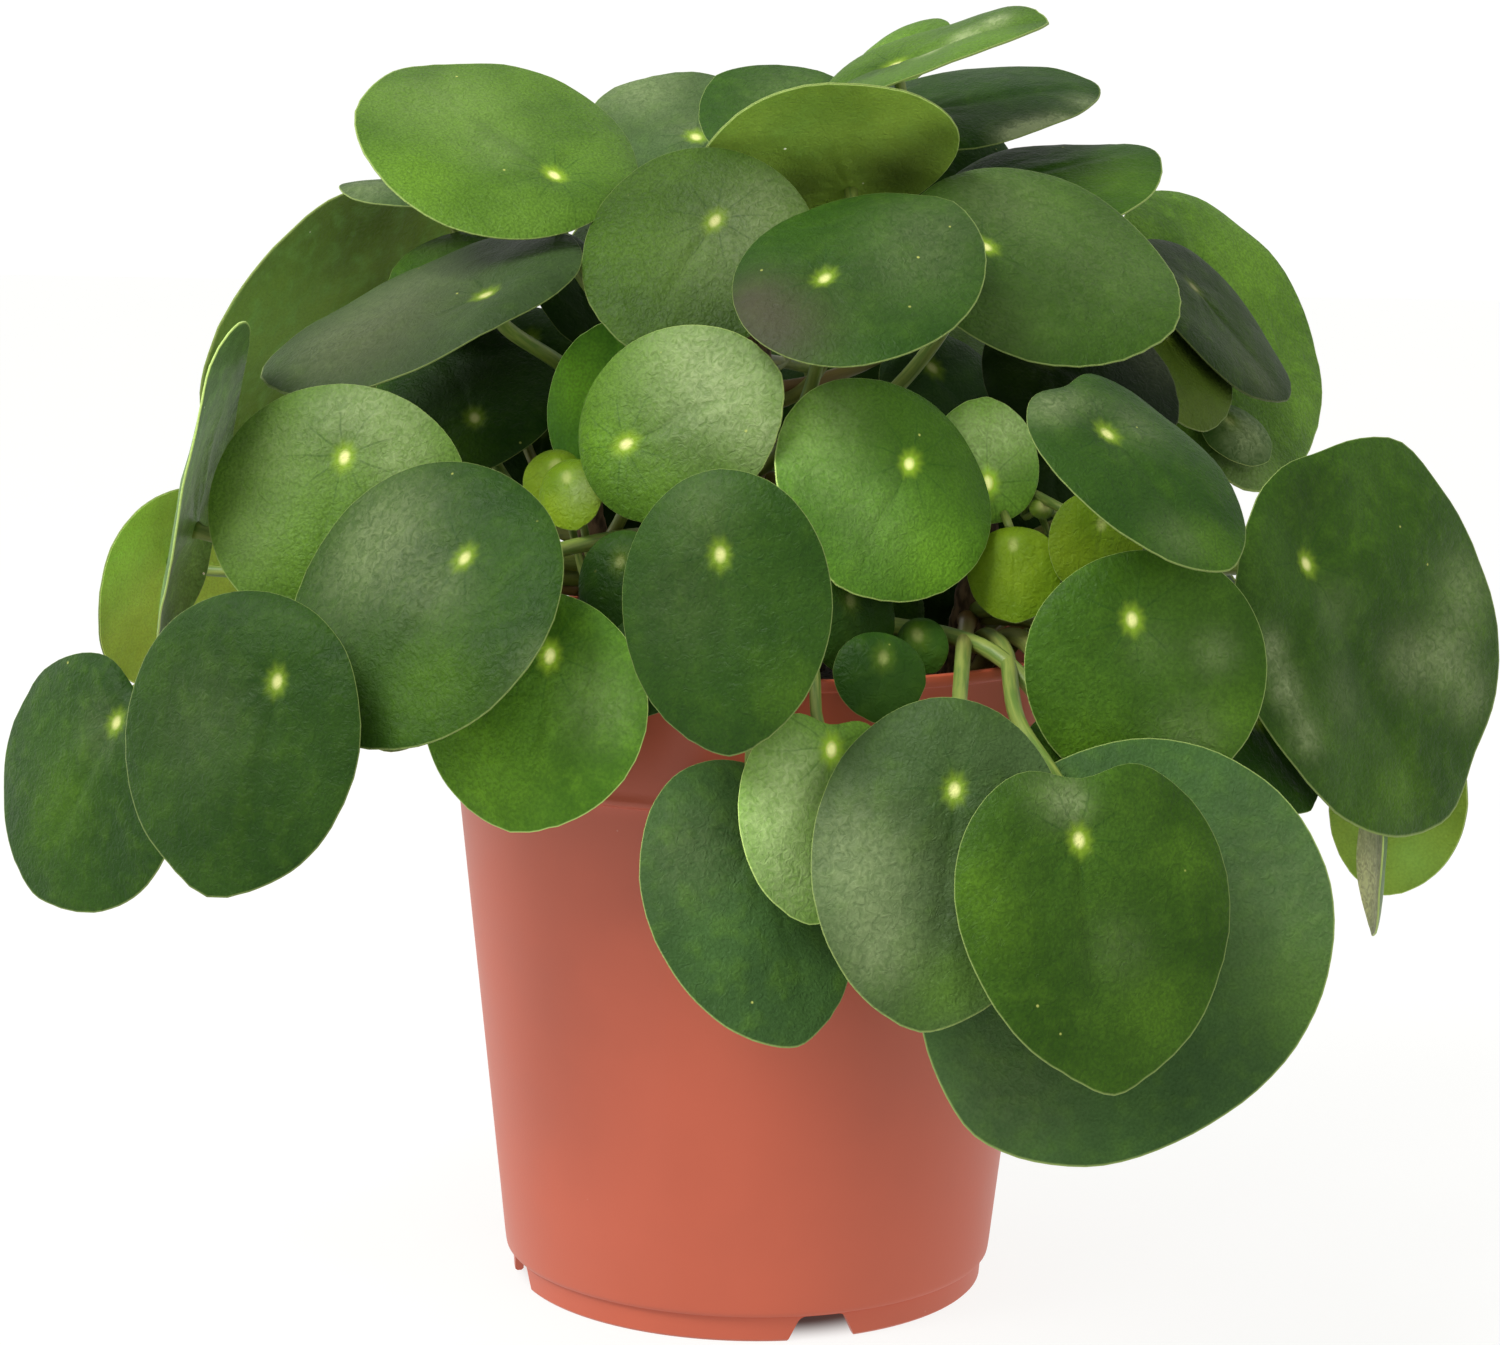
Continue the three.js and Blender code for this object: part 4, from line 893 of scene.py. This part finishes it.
def through(points, per_span=12):
    """Places on the centripetal Catmull-Rom curve through the points, as the part's stalks have."""
    first = points[0] * 2 - points[1]
    last = points[-1] * 2 - points[-2]
    padded = [first] + points + [last]
    places = []
    for i in range(1, len(padded) - 2):
        p0, p1, p2, p3 = padded[i - 1:i + 3]
        spans = ((p0, p1), (p1, p2), (p2, p3))
        d0, d1, d2 = (max(1e-4, (b - a).length_squared ** 0.25) for a, b in spans)
        t1 = ((p1 - p0) / d0 - (p2 - p0) / (d0 + d1) + (p2 - p1) / d1) * d1
        t2 = ((p2 - p1) / d1 - (p3 - p1) / (d1 + d2) + (p3 - p2) / d2) * d1
        for k in range(per_span):
            t = k / per_span
            places.append(p1 + t1 * t + (p2 * 3 - p1 * 3 - t1 * 2 - t2) * t ** 2
                          + (p1 * 2 - p2 * 2 + t1 + t2) * t ** 3)
    return places + [points[-1]]


def evenly(places, count):
    """The same line as this many places with equal steps between them."""
    lengths = [0.0]
    for a, b in zip(places, places[1:]):
        lengths.append(lengths[-1] + (b - a).length)
    even = []
    k = 0
    for i in range(count):
        want = lengths[-1] * i / (count - 1)
        while k < len(places) - 2 and lengths[k + 1] < want:
            k += 1
        share = (want - lengths[k]) / (lengths[k + 1] - lengths[k])
        even.append(places[k].lerp(places[k + 1], clamp(share)))
    return even


def stalk_route(leaf, stem, root_height, sunk):
    """The stalk's path: over the pot's rim where it has to, and to the hub from behind."""
    hub = Vector(leaf["hub"])
    out = blade_frame(leaf)[0]
    middle = stem_axis(stem, root_height)
    away = Vector((hub.x - middle.x, hub.y - middle.y, 0)).normalized()
    root = middle + away * (0 if sunk else stem_radius(stem, root_height) + TOUCH_GAP)
    span = (hub - root).length
    rim_top = POT_HEIGHT + stalk_radius(leaf) + RIM_CLEARANCE
    over_rim = math.hypot(hub.x, hub.y) > RIM_RADIUS - 4 and hub.z < rim_top + HIGH_LEAF
    start = root + away * STALK_START
    via = [Vector(place) for place in leaf.get("via", [])]
    arrive = hub - out * STALK_END
    if not over_rim and via:
        return through([root, start, *via, arrive, hub])
    if not over_rim:
        one = root + away * span * 0.3
        two = hub - out * min(30, span * 0.4)
        shares = (i / CURVE_STEPS for i in range(CURVE_STEPS + 1))
        return [root * (1 - t) ** 3 + one * 3 * t * (1 - t) ** 2
                + two * 3 * t * t * (1 - t) + hub * t ** 3 for t in shares]
    b = root.x * away.x + root.y * away.y
    c = root.x ** 2 + root.y ** 2 - (RIM_RADIUS + 1) ** 2
    reach = min(-b + math.sqrt(b * b - c), math.hypot(hub.x - root.x, hub.y - root.y) - 6)
    crest = root + away * reach
    crest.z = max(rim_top + leaf.get("lift", 0), lerp(root.z, hub.z, 0.6))
    rise = root.lerp(crest, 0.5)
    rise.z = lerp(root.z, crest.z, 0.7) + 2
    arrive.z += min(8, max(0, crest.z - hub.z) * 0.4)
    return through([root, start, rise, crest, *via, arrive, hub])


def tube_along(template, route, radius_at):
    """Draws a copy of the unit tube along a route, with a radius for each share of its length."""
    rings = len({round(vertex.co.z, 4) for vertex in template.data.vertices})
    line = evenly(route, rings)
    ways = [(b - a).normalized() for a, b in zip(line, line[1:])]
    ways.append(ways[-1])
    side = ways[0].orthogonal().normalized()
    frames = []
    for way in ways:
        side = (side - way * side.dot(way)).normalized()
        frames.append((side, way.cross(side)))
    places = []
    fields = []
    for vertex in template.data.vertices:
        k = round(vertex.co.z * (rings - 1))
        share = k / (rings - 1)
        one, two = frames[k]
        spread = radius_at(share, math.atan2(vertex.co.y, vertex.co.x))
        places.append(line[k] + (one * vertex.co.x + two * vertex.co.y) * spread)
        fields.append((share, vertex.co.x * 0.2, vertex.co.y * 0.2))
    made = copy_of(template)
    set_places(made, places)
    set_attribute(made, "place", fields)
    return made


def build_stalk(tube, leaf, stem, root_height, sunk, seed, material):
    """One stalk, from inside its stem's bark to the middle of its blade's thickness."""
    route = stalk_route(leaf, stem, root_height, sunk)
    out = blade_frame(leaf)[0]
    dimple = HUB_DIMPLE * leaf["size"][0] / SET_LENGTH
    route[-1] = route[-1] + out * (dimple - STALK_IN_BLADE)
    start = route[0] - (route[1] - route[0]).normalized() * STALK_IN_BARK
    length = sum((b - a).length for a, b in zip(route, route[1:]))
    base = stalk_radius(leaf)

    def radius_at(share, _angle):
        near_root = bump_curve(share * length, 3.0)
        near_hub = bump_curve((1 - share) * length, 2.2)
        return base * (lerp(1.2, 0.92, share) + 0.35 * near_root + 0.3 * near_hub)

    stalk = tube_along(tube, [start] + route, radius_at)
    # The stalk's end is pressed back to the blade, so that it doesn't show through the hub.
    seat = Vector(leaf["hub"]) + out * (dimple - STALK_UNDER_SKIN)
    for vertex in stalk.data.vertices:
        over = vertex.co / MM - seat
        if over.length < NEAR_HUB and over.dot(out) > 0:
            vertex.co -= out * over.dot(out) * MM
    set_attribute(stalk, "marks", [(seed, 0, 0)] * len(stalk.data.vertices))
    stalk.data.materials.append(material)
    return stalk


def root_heights(leaves):
    """The height at which each stalk leaves its stem: leaves that reach higher start higher."""
    heights = {}
    for name, stem in STEMS.items():
        own = [leaf for leaf in leaves if leaf["stem"] == name]
        own.sort(key=lambda leaf: leaf["hub"][2])
        for i, leaf in enumerate(own):
            spread = lerp(SOIL_LEVEL + 8, stem["top"][2] - 2, i / (len(own) - 1))
            heights[leaf["name"]] = leaf.get("root_at", spread)
    return heights


def build_leaf(forms, leaf, stem, root_height, sunk, thickness):
    """A blade and its stalk as one piece. A sunk stalk starts in the middle of its stem."""
    seed = random.Random(leaf["name"]).random()
    blade = build_blade(forms["disc"], leaf, seed, forms[leaf.get("tone", "young")], thickness)
    stalk = build_stalk(forms["tube"], leaf, stem, root_height, sunk, seed, forms["stalk"])
    return join([blade, stalk])


# ---- pot and soil -------------------------------------------------------------------------

def lathe(profile, sides):
    """A closed turned form from (radius, height) places in millimetres, from pole to pole."""
    bpy.ops.object.select_all(action="DESELECT")
    radius, height = profile[1]
    bpy.ops.mesh.primitive_circle_add(vertices=sides, radius=radius * MM, fill_type="NOTHING",
                                      location=(0, 0, height * MM))
    turned = bpy.context.object
    bpy.ops.object.transform_apply(location=True)
    edit(turned)
    for next_radius, next_height in profile[2:-1]:
        extrude((0, 0, (next_height - height) * MM))
        ratio = next_radius / radius
        bpy.ops.transform.resize(value=(ratio, ratio, 1), center_override=(0, 0, next_height * MM))
        radius, height = next_radius, next_height
    close_end()
    select_vertices(turned, lambda vertex: vertex.is_boundary)
    close_end()
    face_outward()
    leave_edit()
    return turned


def body_radius(z):
    """Outer radius of the pot's tapering body at a height."""
    return lerp(BODY_BOTTOM_RADIUS, BODY_TOP_RADIUS, (z - BODY_BOTTOM) / (BAND_BOTTOM - BODY_BOTTOM))


def pot_profile(wall):
    """The pot's section: foot ring, body, stacking band with its lip, rim bead, and the inside."""
    band = BAND_BOTTOM
    lip = BODY_TOP_RADIUS + 2
    top = POT_HEIGHT
    rim = RIM_RADIUS
    outside = [
        (0, 6), (30, 6), (53.9, 6), (FOOT_INNER_RADIUS, 5.6), (FOOT_INNER_RADIUS, 0.5),
        (FOOT_INNER_RADIUS + 0.5, 0), (FOOT_RADIUS - 0.5, 0), (FOOT_RADIUS, 0.5),
        (56.75, 5.4), (56.75, 5.9), (57.1, 6.25), (57.9, 6.35), (58.3, 6.8), (58.45, 7.6), (58.7, 9.6),
    ]
    outside += [(body_radius(z), z) for z in (20, 40, 60, 80, 100, 115, 122)]
    outside += [
        (body_radius(band - 0.9), band - 0.9), (BODY_TOP_RADIUS + 0.15, band - 0.35), (lip - 0.5, band),
        (lip, band + 0.3), (lip + 0.2, band + 0.9), (lip + 0.2, band + 1.7), (lip + 0.05, band + 2.2),
        (lip + 0.15, band + 4), (lip + 0.6, band + 12), (lip + 1.1, band + 20), (rim - 0.75, top - 3.4),
        (rim - 0.6, top - 2.8), (rim - 0.15, top - 2.5), (rim, top - 2), (rim, top - 0.9),
        (rim - 0.25, top - 0.25), (rim - 0.8, top), (rim - 1.9, top), (rim - 2.4, top - 0.3),
    ]
    inside = [
        (rim - 2.6, top - 1.5), (BODY_TOP_RADIUS + 0.9, band + 6), (BODY_TOP_RADIUS + 0.2, band + 1.8),
        (body_radius(band) - wall + 0.4, band + 0.4), (body_radius(band) - wall, band - 1),
        (body_radius(60) - wall, 60), (body_radius(10) - wall, 10),
        (body_radius(POT_FLOOR) - wall - 1, POT_FLOOR), (20, POT_FLOOR), (0, POT_FLOOR),
    ]
    return outside + inside


def notch_cutter():
    """A block that cuts one drainage notch at the pot's front: narrower and rounded at its top."""
    bpy.ops.object.select_all(action="DESELECT")
    bpy.ops.mesh.primitive_cube_add(size=1)
    notch = bpy.context.object
    notch.scale = (NOTCH_BOTTOM_WIDTH * MM, NOTCH_DEPTH * MM, (NOTCH_HEIGHT + 0.4) * MM)
    notch.location = (0, -FOOT_INNER_RADIUS * MM, (NOTCH_HEIGHT - 1.6) / 2 * MM)
    bpy.ops.object.transform_apply()
    edit(notch)
    mesh = bmesh.from_edit_mesh(notch.data)
    mesh.faces.ensure_lookup_table()
    for face in mesh.faces:
        face.select = face.normal.z > 0.9
    mesh.select_flush_mode()
    bmesh.update_edit_mesh(notch.data)
    narrow = NOTCH_TOP_WIDTH / NOTCH_BOTTOM_WIDTH
    bpy.ops.transform.resize(value=(narrow, 1, 1), center_override=(0, -FOOT_INNER_RADIUS * MM, 0))
    mesh = bmesh.from_edit_mesh(notch.data)
    for edge in mesh.edges:
        one, two = edge.verts
        edge.select = abs(one.co.y - two.co.y) > 5 * MM and one.co.z > 2 * MM
    bmesh.update_edit_mesh(notch.data)
    bpy.ops.mesh.bevel(offset=NOTCH_ROUNDING * MM, segments=4, affect="EDGES")
    leave_edit()
    return notch


def hole_cutter():
    """A round bar that cuts one drain hole at the pot's front."""
    bpy.ops.object.select_all(action="DESELECT")
    bpy.ops.mesh.primitive_cylinder_add(vertices=32, radius=DRAIN_HOLE_RADIUS * MM, depth=8 * MM,
                                        location=(0, -DRAIN_HOLE_DISTANCE * MM, 7 * MM))
    hole = bpy.context.object
    bpy.ops.object.transform_apply()
    return hole


def foot_cutters():
    """One mesh that cuts the four drainage notches in the foot ring and four holes in the floor."""
    cutters = []
    for azimuth in NOTCH_AZIMUTHS:
        pair = join([notch_cutter(), hole_cutter()])
        pair.rotation_euler.z = math.radians(azimuth)
        work_on(pair)
        bpy.ops.object.transform_apply()
        cutters.append(pair)
    return join(cutters)


def soil_height(x, y):
    """The soil's top: the part's slow lumps, with finer ones."""
    lumps = SOIL_LEVEL + SOIL_LUMP * math.sin(x * 0.16 + 1) * math.cos(y * 0.19 - 0.6)
    spot = Vector((x, y, 0))
    return lumps + 0.9 * noise.noise(spot / 6) + 0.5 * noise.noise(spot / 2.2)


def build_crumb(template, place, size, rolls):
    """A crumb of peat: a small uneven lump."""
    crumb = copy_of(template)
    spin = Matrix.Rotation(rolls.uniform(0, 6.28), 3, "Z")
    lean = Matrix.Rotation(rolls.uniform(0, 3.14), 3, "X")
    turn = spin @ lean
    stretch = Vector((rolls.uniform(0.7, 1.3), rolls.uniform(0.7, 1.3), rolls.uniform(0.5, 0.9)))
    places = []
    for vertex in template.data.vertices:
        uneven = 1 + 0.35 * noise.noise(vertex.co * 2 + place)
        places.append(place + turn @ (vertex.co * stretch) * size * uneven)
    set_places(crumb, places)
    return crumb


def soil_profile():
    """The section of the soil: it fits the pot's inside, and its flat top has rings to raise."""
    floor = BODY_BOTTOM + 1 + TOUCH_GAP
    sides = [(body_radius(z) - WALL - TOUCH_GAP, z) for z in (floor, 60, BAND_BOTTOM)]
    top = [(radius, SOIL_LEVEL) for radius in SOIL_RINGS]
    return [(0, floor), (20, floor), *sides, (BODY_TOP_RADIUS + 0.6, SOIL_LEVEL - 1), *top]


# ---- what a user may change ---------------------------------------------------------------

def colour_property(name, description, code):
    """A colour that a user can change, from a hex colour."""
    return FloatVectorProperty(name=name, description=description, subtype="COLOR", size=4,
                               min=0, max=1, default=linear(code))


def tone_property(tone, name, where):
    """The lighter green of one tone of leaf."""
    return colour_property(name, f"Lighter patches of the {where}", TONES[tone][1])


class PotProperties(bpy.types.PropertyGroup):
    """The pot and its soil."""

    colour: colour_property("Pot colour", "Colour of the moulded plastic", "d66546")
    wall: FloatProperty(name="Wall", description="Thickness of the pot's wall", unit="LENGTH",
                        default=WALL * MM, min=0.8 * MM, max=1.8 * MM)
    crumbs: IntProperty(name="Crumbs", description="How many crumbs lie on the soil",
                        default=260, min=0, max=600)


class LeafProperties(bpy.types.PropertyGroup):
    """The leaves and their stalks."""

    thickness: FloatProperty(name="Blade thickness", description="Thickness of a blade at its middle",
                             unit="LENGTH", default=0.9 * MM, min=0.6 * MM, max=1.2 * MM)
    mid: tone_property("mid", "Mid green", "mid green leaves")
    dark: tone_property("dark", "Dark green", "dark leaves")
    deep: tone_property("deep", "Blue-green", "blue-green leaves")
    light: tone_property("light", "Light green", "light leaves")
    grey: tone_property("grey", "Grey-green", "greyish leaves")
    olive: tone_property("olive", "Olive", "leaves seen from below")
    young: tone_property("young", "Young green", "young leaves")
    shade: tone_property("shade", "Shaded green", "small leaves in the shade")


class StageProperties(bpy.types.PropertyGroup):
    """Studio light and floor."""

    key: FloatProperty(name="Key light", description="Power of the large soft light at the left",
                       default=25, min=0, unit="POWER")
    fill: FloatProperty(name="Fill light", description="Power of the soft light at the right",
                        default=1.4, min=0, unit="POWER")
    edge: FloatProperty(name="Edge light", description="Power of the lights that brighten the edges",
                        default=3, min=0, unit="POWER")
    surround: FloatProperty(name="Surround", description="Brightness of the room's own light",
                            default=0.62, min=0)
    floor: colour_property("Floor", "Colour of the floor and backdrop", "fbfbf9")


# ---- operators ----------------------------------------------------------------------------

def leaf_forms(settings):
    """The shapes and materials that all leaves share."""
    forms = {"disc": unit_disc(), "tube": unit_tube(STALK_SIDES, STALK_RINGS)}
    for tone, (dark, _light, roughness, clear, _slot) in TONES.items():
        light = list(getattr(settings, tone))
        forms[tone] = []
        for under in (False, True):
            name = f"waxy_leaf_{tone}_{'underside' if under else 'upper_side'}"
            # Painted light: leaves seen from below are painted bright on their undersides, as if lit
            # through, and the painted light on their upper sides is capped.
            brightest = 0.9 if tone == "olive" and not under else 9
            forms[tone].append(
                bpy.data.materials.get(name)
                or blade_material(name, dark, light, roughness, clear, under, brightest))
    forms["stalk"] = bpy.data.materials.get("fleshy_leaf_stalk") or stalk_material()
    return forms


def drop_forms(forms):
    """Removes the shapes that pieces were copied from."""
    discard(forms["disc"])
    discard(forms["tube"])


class MONEYPLANT_OT_pot(bpy.types.Operator):
    """Makes the terracotta-coloured nursery pot"""

    bl_idname = "money_plant.pot"
    bl_label = "Nursery pot"

    def execute(self, context):
        settings = context.scene.money_plant_pot
        pot = lathe(pot_profile(settings.wall / MM), POT_SIDES)
        cutters = foot_cutters()
        apply_modifier(pot, "BOOLEAN", operation="DIFFERENCE", solver="EXACT", object=cutters)
        discard(cutters)
        pot.data.materials.append(pot_material(list(settings.colour)))
        finish_piece(pot, "nursery_pot", "pot_plastic", "pot")
        bpy.ops.object.shade_smooth_by_angle(angle=POT_SHARP_ANGLE)
        return {"FINISHED"}


class MONEYPLANT_OT_soil(bpy.types.Operator):
    """Fills the pot with peat soil and scatters crumbs on it"""

    bl_idname = "money_plant.soil"
    bl_label = "Potting soil"

    def execute(self, context):
        settings = context.scene.money_plant_pot
        soil = lathe(soil_profile(), SOIL_SIDES)
        for vertex in soil.data.vertices:
            if vertex.co.z > (SOIL_LEVEL - 0.5) * MM:
                vertex.co.z = soil_height(vertex.co.x / MM, vertex.co.y / MM) * MM
        bpy.ops.object.select_all(action="DESELECT")
        bpy.ops.mesh.primitive_ico_sphere_add(subdivisions=2, radius=1)
        template = bpy.context.object
        rolls = random.Random(7)
        parts = [soil]
        for _ in range(settings.crumbs):
            radius = CRUMB_SPREAD * math.sqrt(rolls.random())
            turn = rolls.uniform(0, 2 * math.pi)
            x, y = radius * math.cos(turn), radius * math.sin(turn)
            size = rolls.uniform(*CRUMB_SIZES)
            place = Vector((x, y, soil_height(x, y) + size * 0.2))
            parts.append(build_crumb(template, place, size, rolls))
        discard(template)
        soil = join(parts)
        soil.data.materials.append(soil_material())
        finish_piece(soil, "potting_soil_filling", "potting_soil", "soil")
        return {"FINISHED"}


class MONEYPLANT_OT_stems(bpy.types.Operator):
    """Makes the three woody stems with their leaf scars and top buds"""

    bl_idname = "money_plant.stems"
    bl_label = "Woody stems"

    def execute(self, context):
        tube = unit_tube(STEM_SIDES, STEM_RINGS)
        bark = bark_material()
        for name, stem in STEMS.items():
            made = build_stem(tube, stem, name)
            made.data.materials.append(bark)
            finish_piece(made, f"{name}_stem", "stem_bark", f"stem_{name}")
        discard(tube)
        return {"FINISHED"}


def build_stem(tube, stem, name):
    """A stem with a swollen ridge at each old leaf scar, from its root in the soil to its top bud."""
    low = stem.get("base", SOIL_LEVEL - ROOT_DEPTH)
    high = stem["top"][2] + STEM_CAP
    route = [stem_axis(stem, lerp(low, high, i / STEM_STEPS)) for i in range(STEM_STEPS + 1)]
    seed = random.Random(name).random()

    def radius_at(share, angle):
        z = lerp(low, high, share)
        ridge = SCAR_HEIGHT * math.cos(z * 0.95 + 0.9 * math.sin(angle + 5 * seed)) ** 3
        spot = Vector((math.cos(angle) * 1.4, math.sin(angle) * 1.4, z / 7 + 9 * seed))
        uneven = BARK_UNEVENNESS * noise.noise(spot)
        close = math.sqrt(max(0.0, 1 - clamp((z - high + 6) / 6.2) ** 2))
        return stem_radius(stem, z) * (0.97 + ridge + uneven) * lerp(0.25, 1, close)

    return tube_along(tube, route, radius_at)


class MONEYPLANT_OT_leaves(bpy.types.Operator):
    """Makes every large leaf with its stalk, and the small ones in their shade"""

    bl_idname = "money_plant.leaves"
    bl_label = "Leaves"

    def execute(self, context):
        settings = context.scene.money_plant_leaves
        forms = leaf_forms(settings)
        heights = root_heights(LEAVES)
        for leaf in LEAVES:
            stem = STEMS[leaf["stem"]]
            made = build_leaf(forms, leaf, stem, heights[leaf["name"]], False, settings.thickness)
            slot = TONES[leaf["tone"]][-1]
            finish_piece(made, f"{leaf['name']}_leaf", slot, f"leaf_{leaf['name']}")
        thin = settings.thickness * SMALL_THICKNESS
        for leaf in SMALL_LEAVES:
            made = build_leaf(forms, leaf, STEMS[leaf["stem"]], leaf["root_at"], False, thin)
            finish_piece(made, f"{leaf['name']}_small_leaf", TONES[leaf["tone"]][-1])
        drop_forms(forms)
        return {"FINISHED"}


class MONEYPLANT_OT_shoots(bpy.types.Operator):
    """Makes the young side shoots with their small bright leaves"""

    bl_idname = "money_plant.shoots"
    bl_label = "Young shoots"

    def execute(self, context):
        settings = context.scene.money_plant_leaves
        forms = leaf_forms(settings)
        thin = settings.thickness * SMALL_THICKNESS
        for shoot in SHOOTS:
            base = shoot.get("base", SOIL_LEVEL)
            parts = [build_stem(forms["tube"], shoot, shoot["name"])]
            set_attribute(parts[0], "marks", [(0.5, 0, 0)] * len(parts[0].data.vertices))
            parts[0].data.materials.append(forms["stalk"])
            for i, leaf in enumerate(shoot["leaves"]):
                height = lerp(base + 3, shoot["top"][2], (i + 1) / len(shoot["leaves"]))
                leaf = dict(leaf, name=f"{shoot['name']}_{i}")
                parts.append(build_leaf(forms, leaf, shoot, height, True, thin))
            finish_piece(join(parts), f"young_{shoot['name']}", "young_leaf", shoot["name"])
        drop_forms(forms)
        return {"FINISHED"}


class MONEYPLANT_OT_stage(bpy.types.Operator):
    """Sets the pale floor, the soft studio light and the camera"""

    bl_idname = "money_plant.stage"
    bl_label = "Stage"

    def execute(self, context):
        settings = context.scene.money_plant_stage
        build_floor(settings)
        for name, (setting, share, size, place) in LIGHTS.items():
            add_light(name, getattr(settings, setting) * share, size, place)
        world = bpy.data.worlds.new("white_room")
        world.use_nodes = True
        build_backdrop(settings)
        sky = world.node_tree.nodes["Background"]
        sky.inputs["Color"].default_value = (1, 1, 1, 1)
        sky.inputs["Strength"].default_value = settings.surround
        context.scene.world = world
        context.scene.view_settings.view_transform = "Standard"
        add_camera(context.scene)
        return {"FINISHED"}


def build_floor(settings):
    """A plain white floor that gives off an even light of its own, with painted shade on the ground
    under the pot.
    """
    bpy.ops.object.select_all(action="DESELECT")
    bpy.ops.mesh.primitive_plane_add(size=FLOOR_SIZE, location=(0, 0, -FLOOR_DROP * MM))
    floor = bpy.context.object
    bpy.ops.object.transform_apply()
    white, tree, shader = new_material("matt_white_paper", Roughness=0.9,
                                       Base_Color=(0.14, 0.14, 0.14, 1), Emission_Strength=0.9)
    spot = add_node(tree, "TexCoord", output="Object")
    away = add_node(tree, "VectorMath", {0: spot}, "Value", operation="LENGTH")
    # Painted shade: the floor's own light fades out under the pot's foot.
    dark_from = (FOOT_RADIUS - GROUND_SHADE_INSIDE) * MM
    lit_from = (FOOT_RADIUS + GROUND_SHADE_OUTSIDE) * MM
    lit = add_node(tree, "MapRange", {0: away, 1: dark_from, 2: lit_from, 3: GROUND_DARKEST, 4: 1},
                   **SMOOTH)
    glow = add_node(tree, "VectorMath", {0: settings.floor[:3], "Scale": lit}, operation="SCALE")
    set_inputs(tree, shader, {"Emission Color": glow})
    floor.data.materials.append(white)
    floor.name = "white_floor"
    floor.visible_diffuse = False


def build_backdrop(settings):
    """A white dome far round the floor. Only the camera sees it, so it doesn't light the leaves."""
    bpy.ops.object.select_all(action="DESELECT")
    bpy.ops.mesh.primitive_uv_sphere_add(segments=48, ring_count=24, radius=DOME_RADIUS)
    dome = bpy.context.object
    bpy.ops.object.shade_smooth()
    white = new_material("white_backdrop", Roughness=1.0, Base_Color=(0, 0, 0, 1),
                         Emission_Color=settings.floor, Emission_Strength=1.06)[0]
    dome.data.materials.append(white)
    dome.name = "white_dome"
    for kind in ("diffuse", "glossy", "transmission", "shadow"):
        setattr(dome, f"visible_{kind}", False)


def add_light(name, power, size, place):
    """A large soft light at a place, turned to the plant."""
    lamp = bpy.data.lights.new(name, "AREA")
    lamp.energy = power
    lamp.shape = "SQUARE"
    lamp.size = size
    made = bpy.data.objects.new(name, lamp)
    bpy.context.scene.collection.objects.link(made)
    made.location = place
    made.rotation_euler = (LIGHT_AIM - place).to_track_quat("-Z", "Y").to_euler()


def add_camera(scene):
    """The photograph's camera: its place, aim, small roll and lens."""
    flat = math.cos(CAMERA_PITCH)
    forward = Vector((math.sin(CAMERA_YAW) * flat, math.cos(CAMERA_YAW) * flat, -math.sin(CAMERA_PITCH)))
    level = Vector((math.cos(CAMERA_YAW), -math.sin(CAMERA_YAW), 0))
    up = level.cross(forward)
    right = level * math.cos(CAMERA_ROLL) + up * math.sin(CAMERA_ROLL)
    above = up * math.cos(CAMERA_ROLL) - level * math.sin(CAMERA_ROLL)
    lens = bpy.data.cameras.new("photo_camera")
    lens.sensor_width = SENSOR
    lens.sensor_fit = "HORIZONTAL"
    lens.lens = CAMERA_FOCAL_PX * SENSOR / PHOTO_WIDTH
    lens.clip_start = 0.01
    lens.dof.use_dof = False
    camera = bpy.data.objects.new("photo_camera", lens)
    scene.collection.objects.link(camera)
    turned = Matrix((right, above, -forward)).transposed().to_4x4()
    camera.matrix_world = Matrix.Translation(CAMERA_PLACE) @ turned
    scene.camera = camera


class MONEYPLANT_PT_panel(bpy.types.Panel):
    """Lists what the add-on makes"""

    bl_label = "Money Plant"
    bl_idname = "MONEYPLANT_PT_panel"
    bl_space_type = "VIEW_3D"
    bl_region_type = "UI"
    bl_category = "Money Plant"

    def draw(self, context):
        layout = self.layout
        for group in (context.scene.money_plant_pot, context.scene.money_plant_leaves,
                      context.scene.money_plant_stage):
            box = layout.box()
            for name in group.__annotations__:
                box.prop(group, name)
        for operator in OPERATORS:
            layout.operator(operator.bl_idname)


GROUPS = {
    "money_plant_pot": PotProperties,
    "money_plant_leaves": LeafProperties,
    "money_plant_stage": StageProperties,
}
OPERATORS = (
    MONEYPLANT_OT_stage,
    MONEYPLANT_OT_pot,
    MONEYPLANT_OT_soil,
    MONEYPLANT_OT_stems,
    MONEYPLANT_OT_leaves,
    MONEYPLANT_OT_shoots,
)


def register():
    for each in (*GROUPS.values(), *OPERATORS, MONEYPLANT_PT_panel):
        bpy.utils.register_class(each)
    for name, group in GROUPS.items():
        setattr(bpy.types.Scene, name, PointerProperty(type=group))


def unregister():
    for name in GROUPS:
        delattr(bpy.types.Scene, name)
    for each in reversed((*GROUPS.values(), *OPERATORS, MONEYPLANT_PT_panel)):
        bpy.utils.unregister_class(each)


def main():
    register()
    bpy.ops.money_plant.stage()
    bpy.ops.money_plant.pot()
    bpy.ops.money_plant.soil()
    bpy.ops.money_plant.stems()
    bpy.ops.money_plant.leaves()
    bpy.ops.money_plant.shoots()


if __name__ == "__main__":
    main()
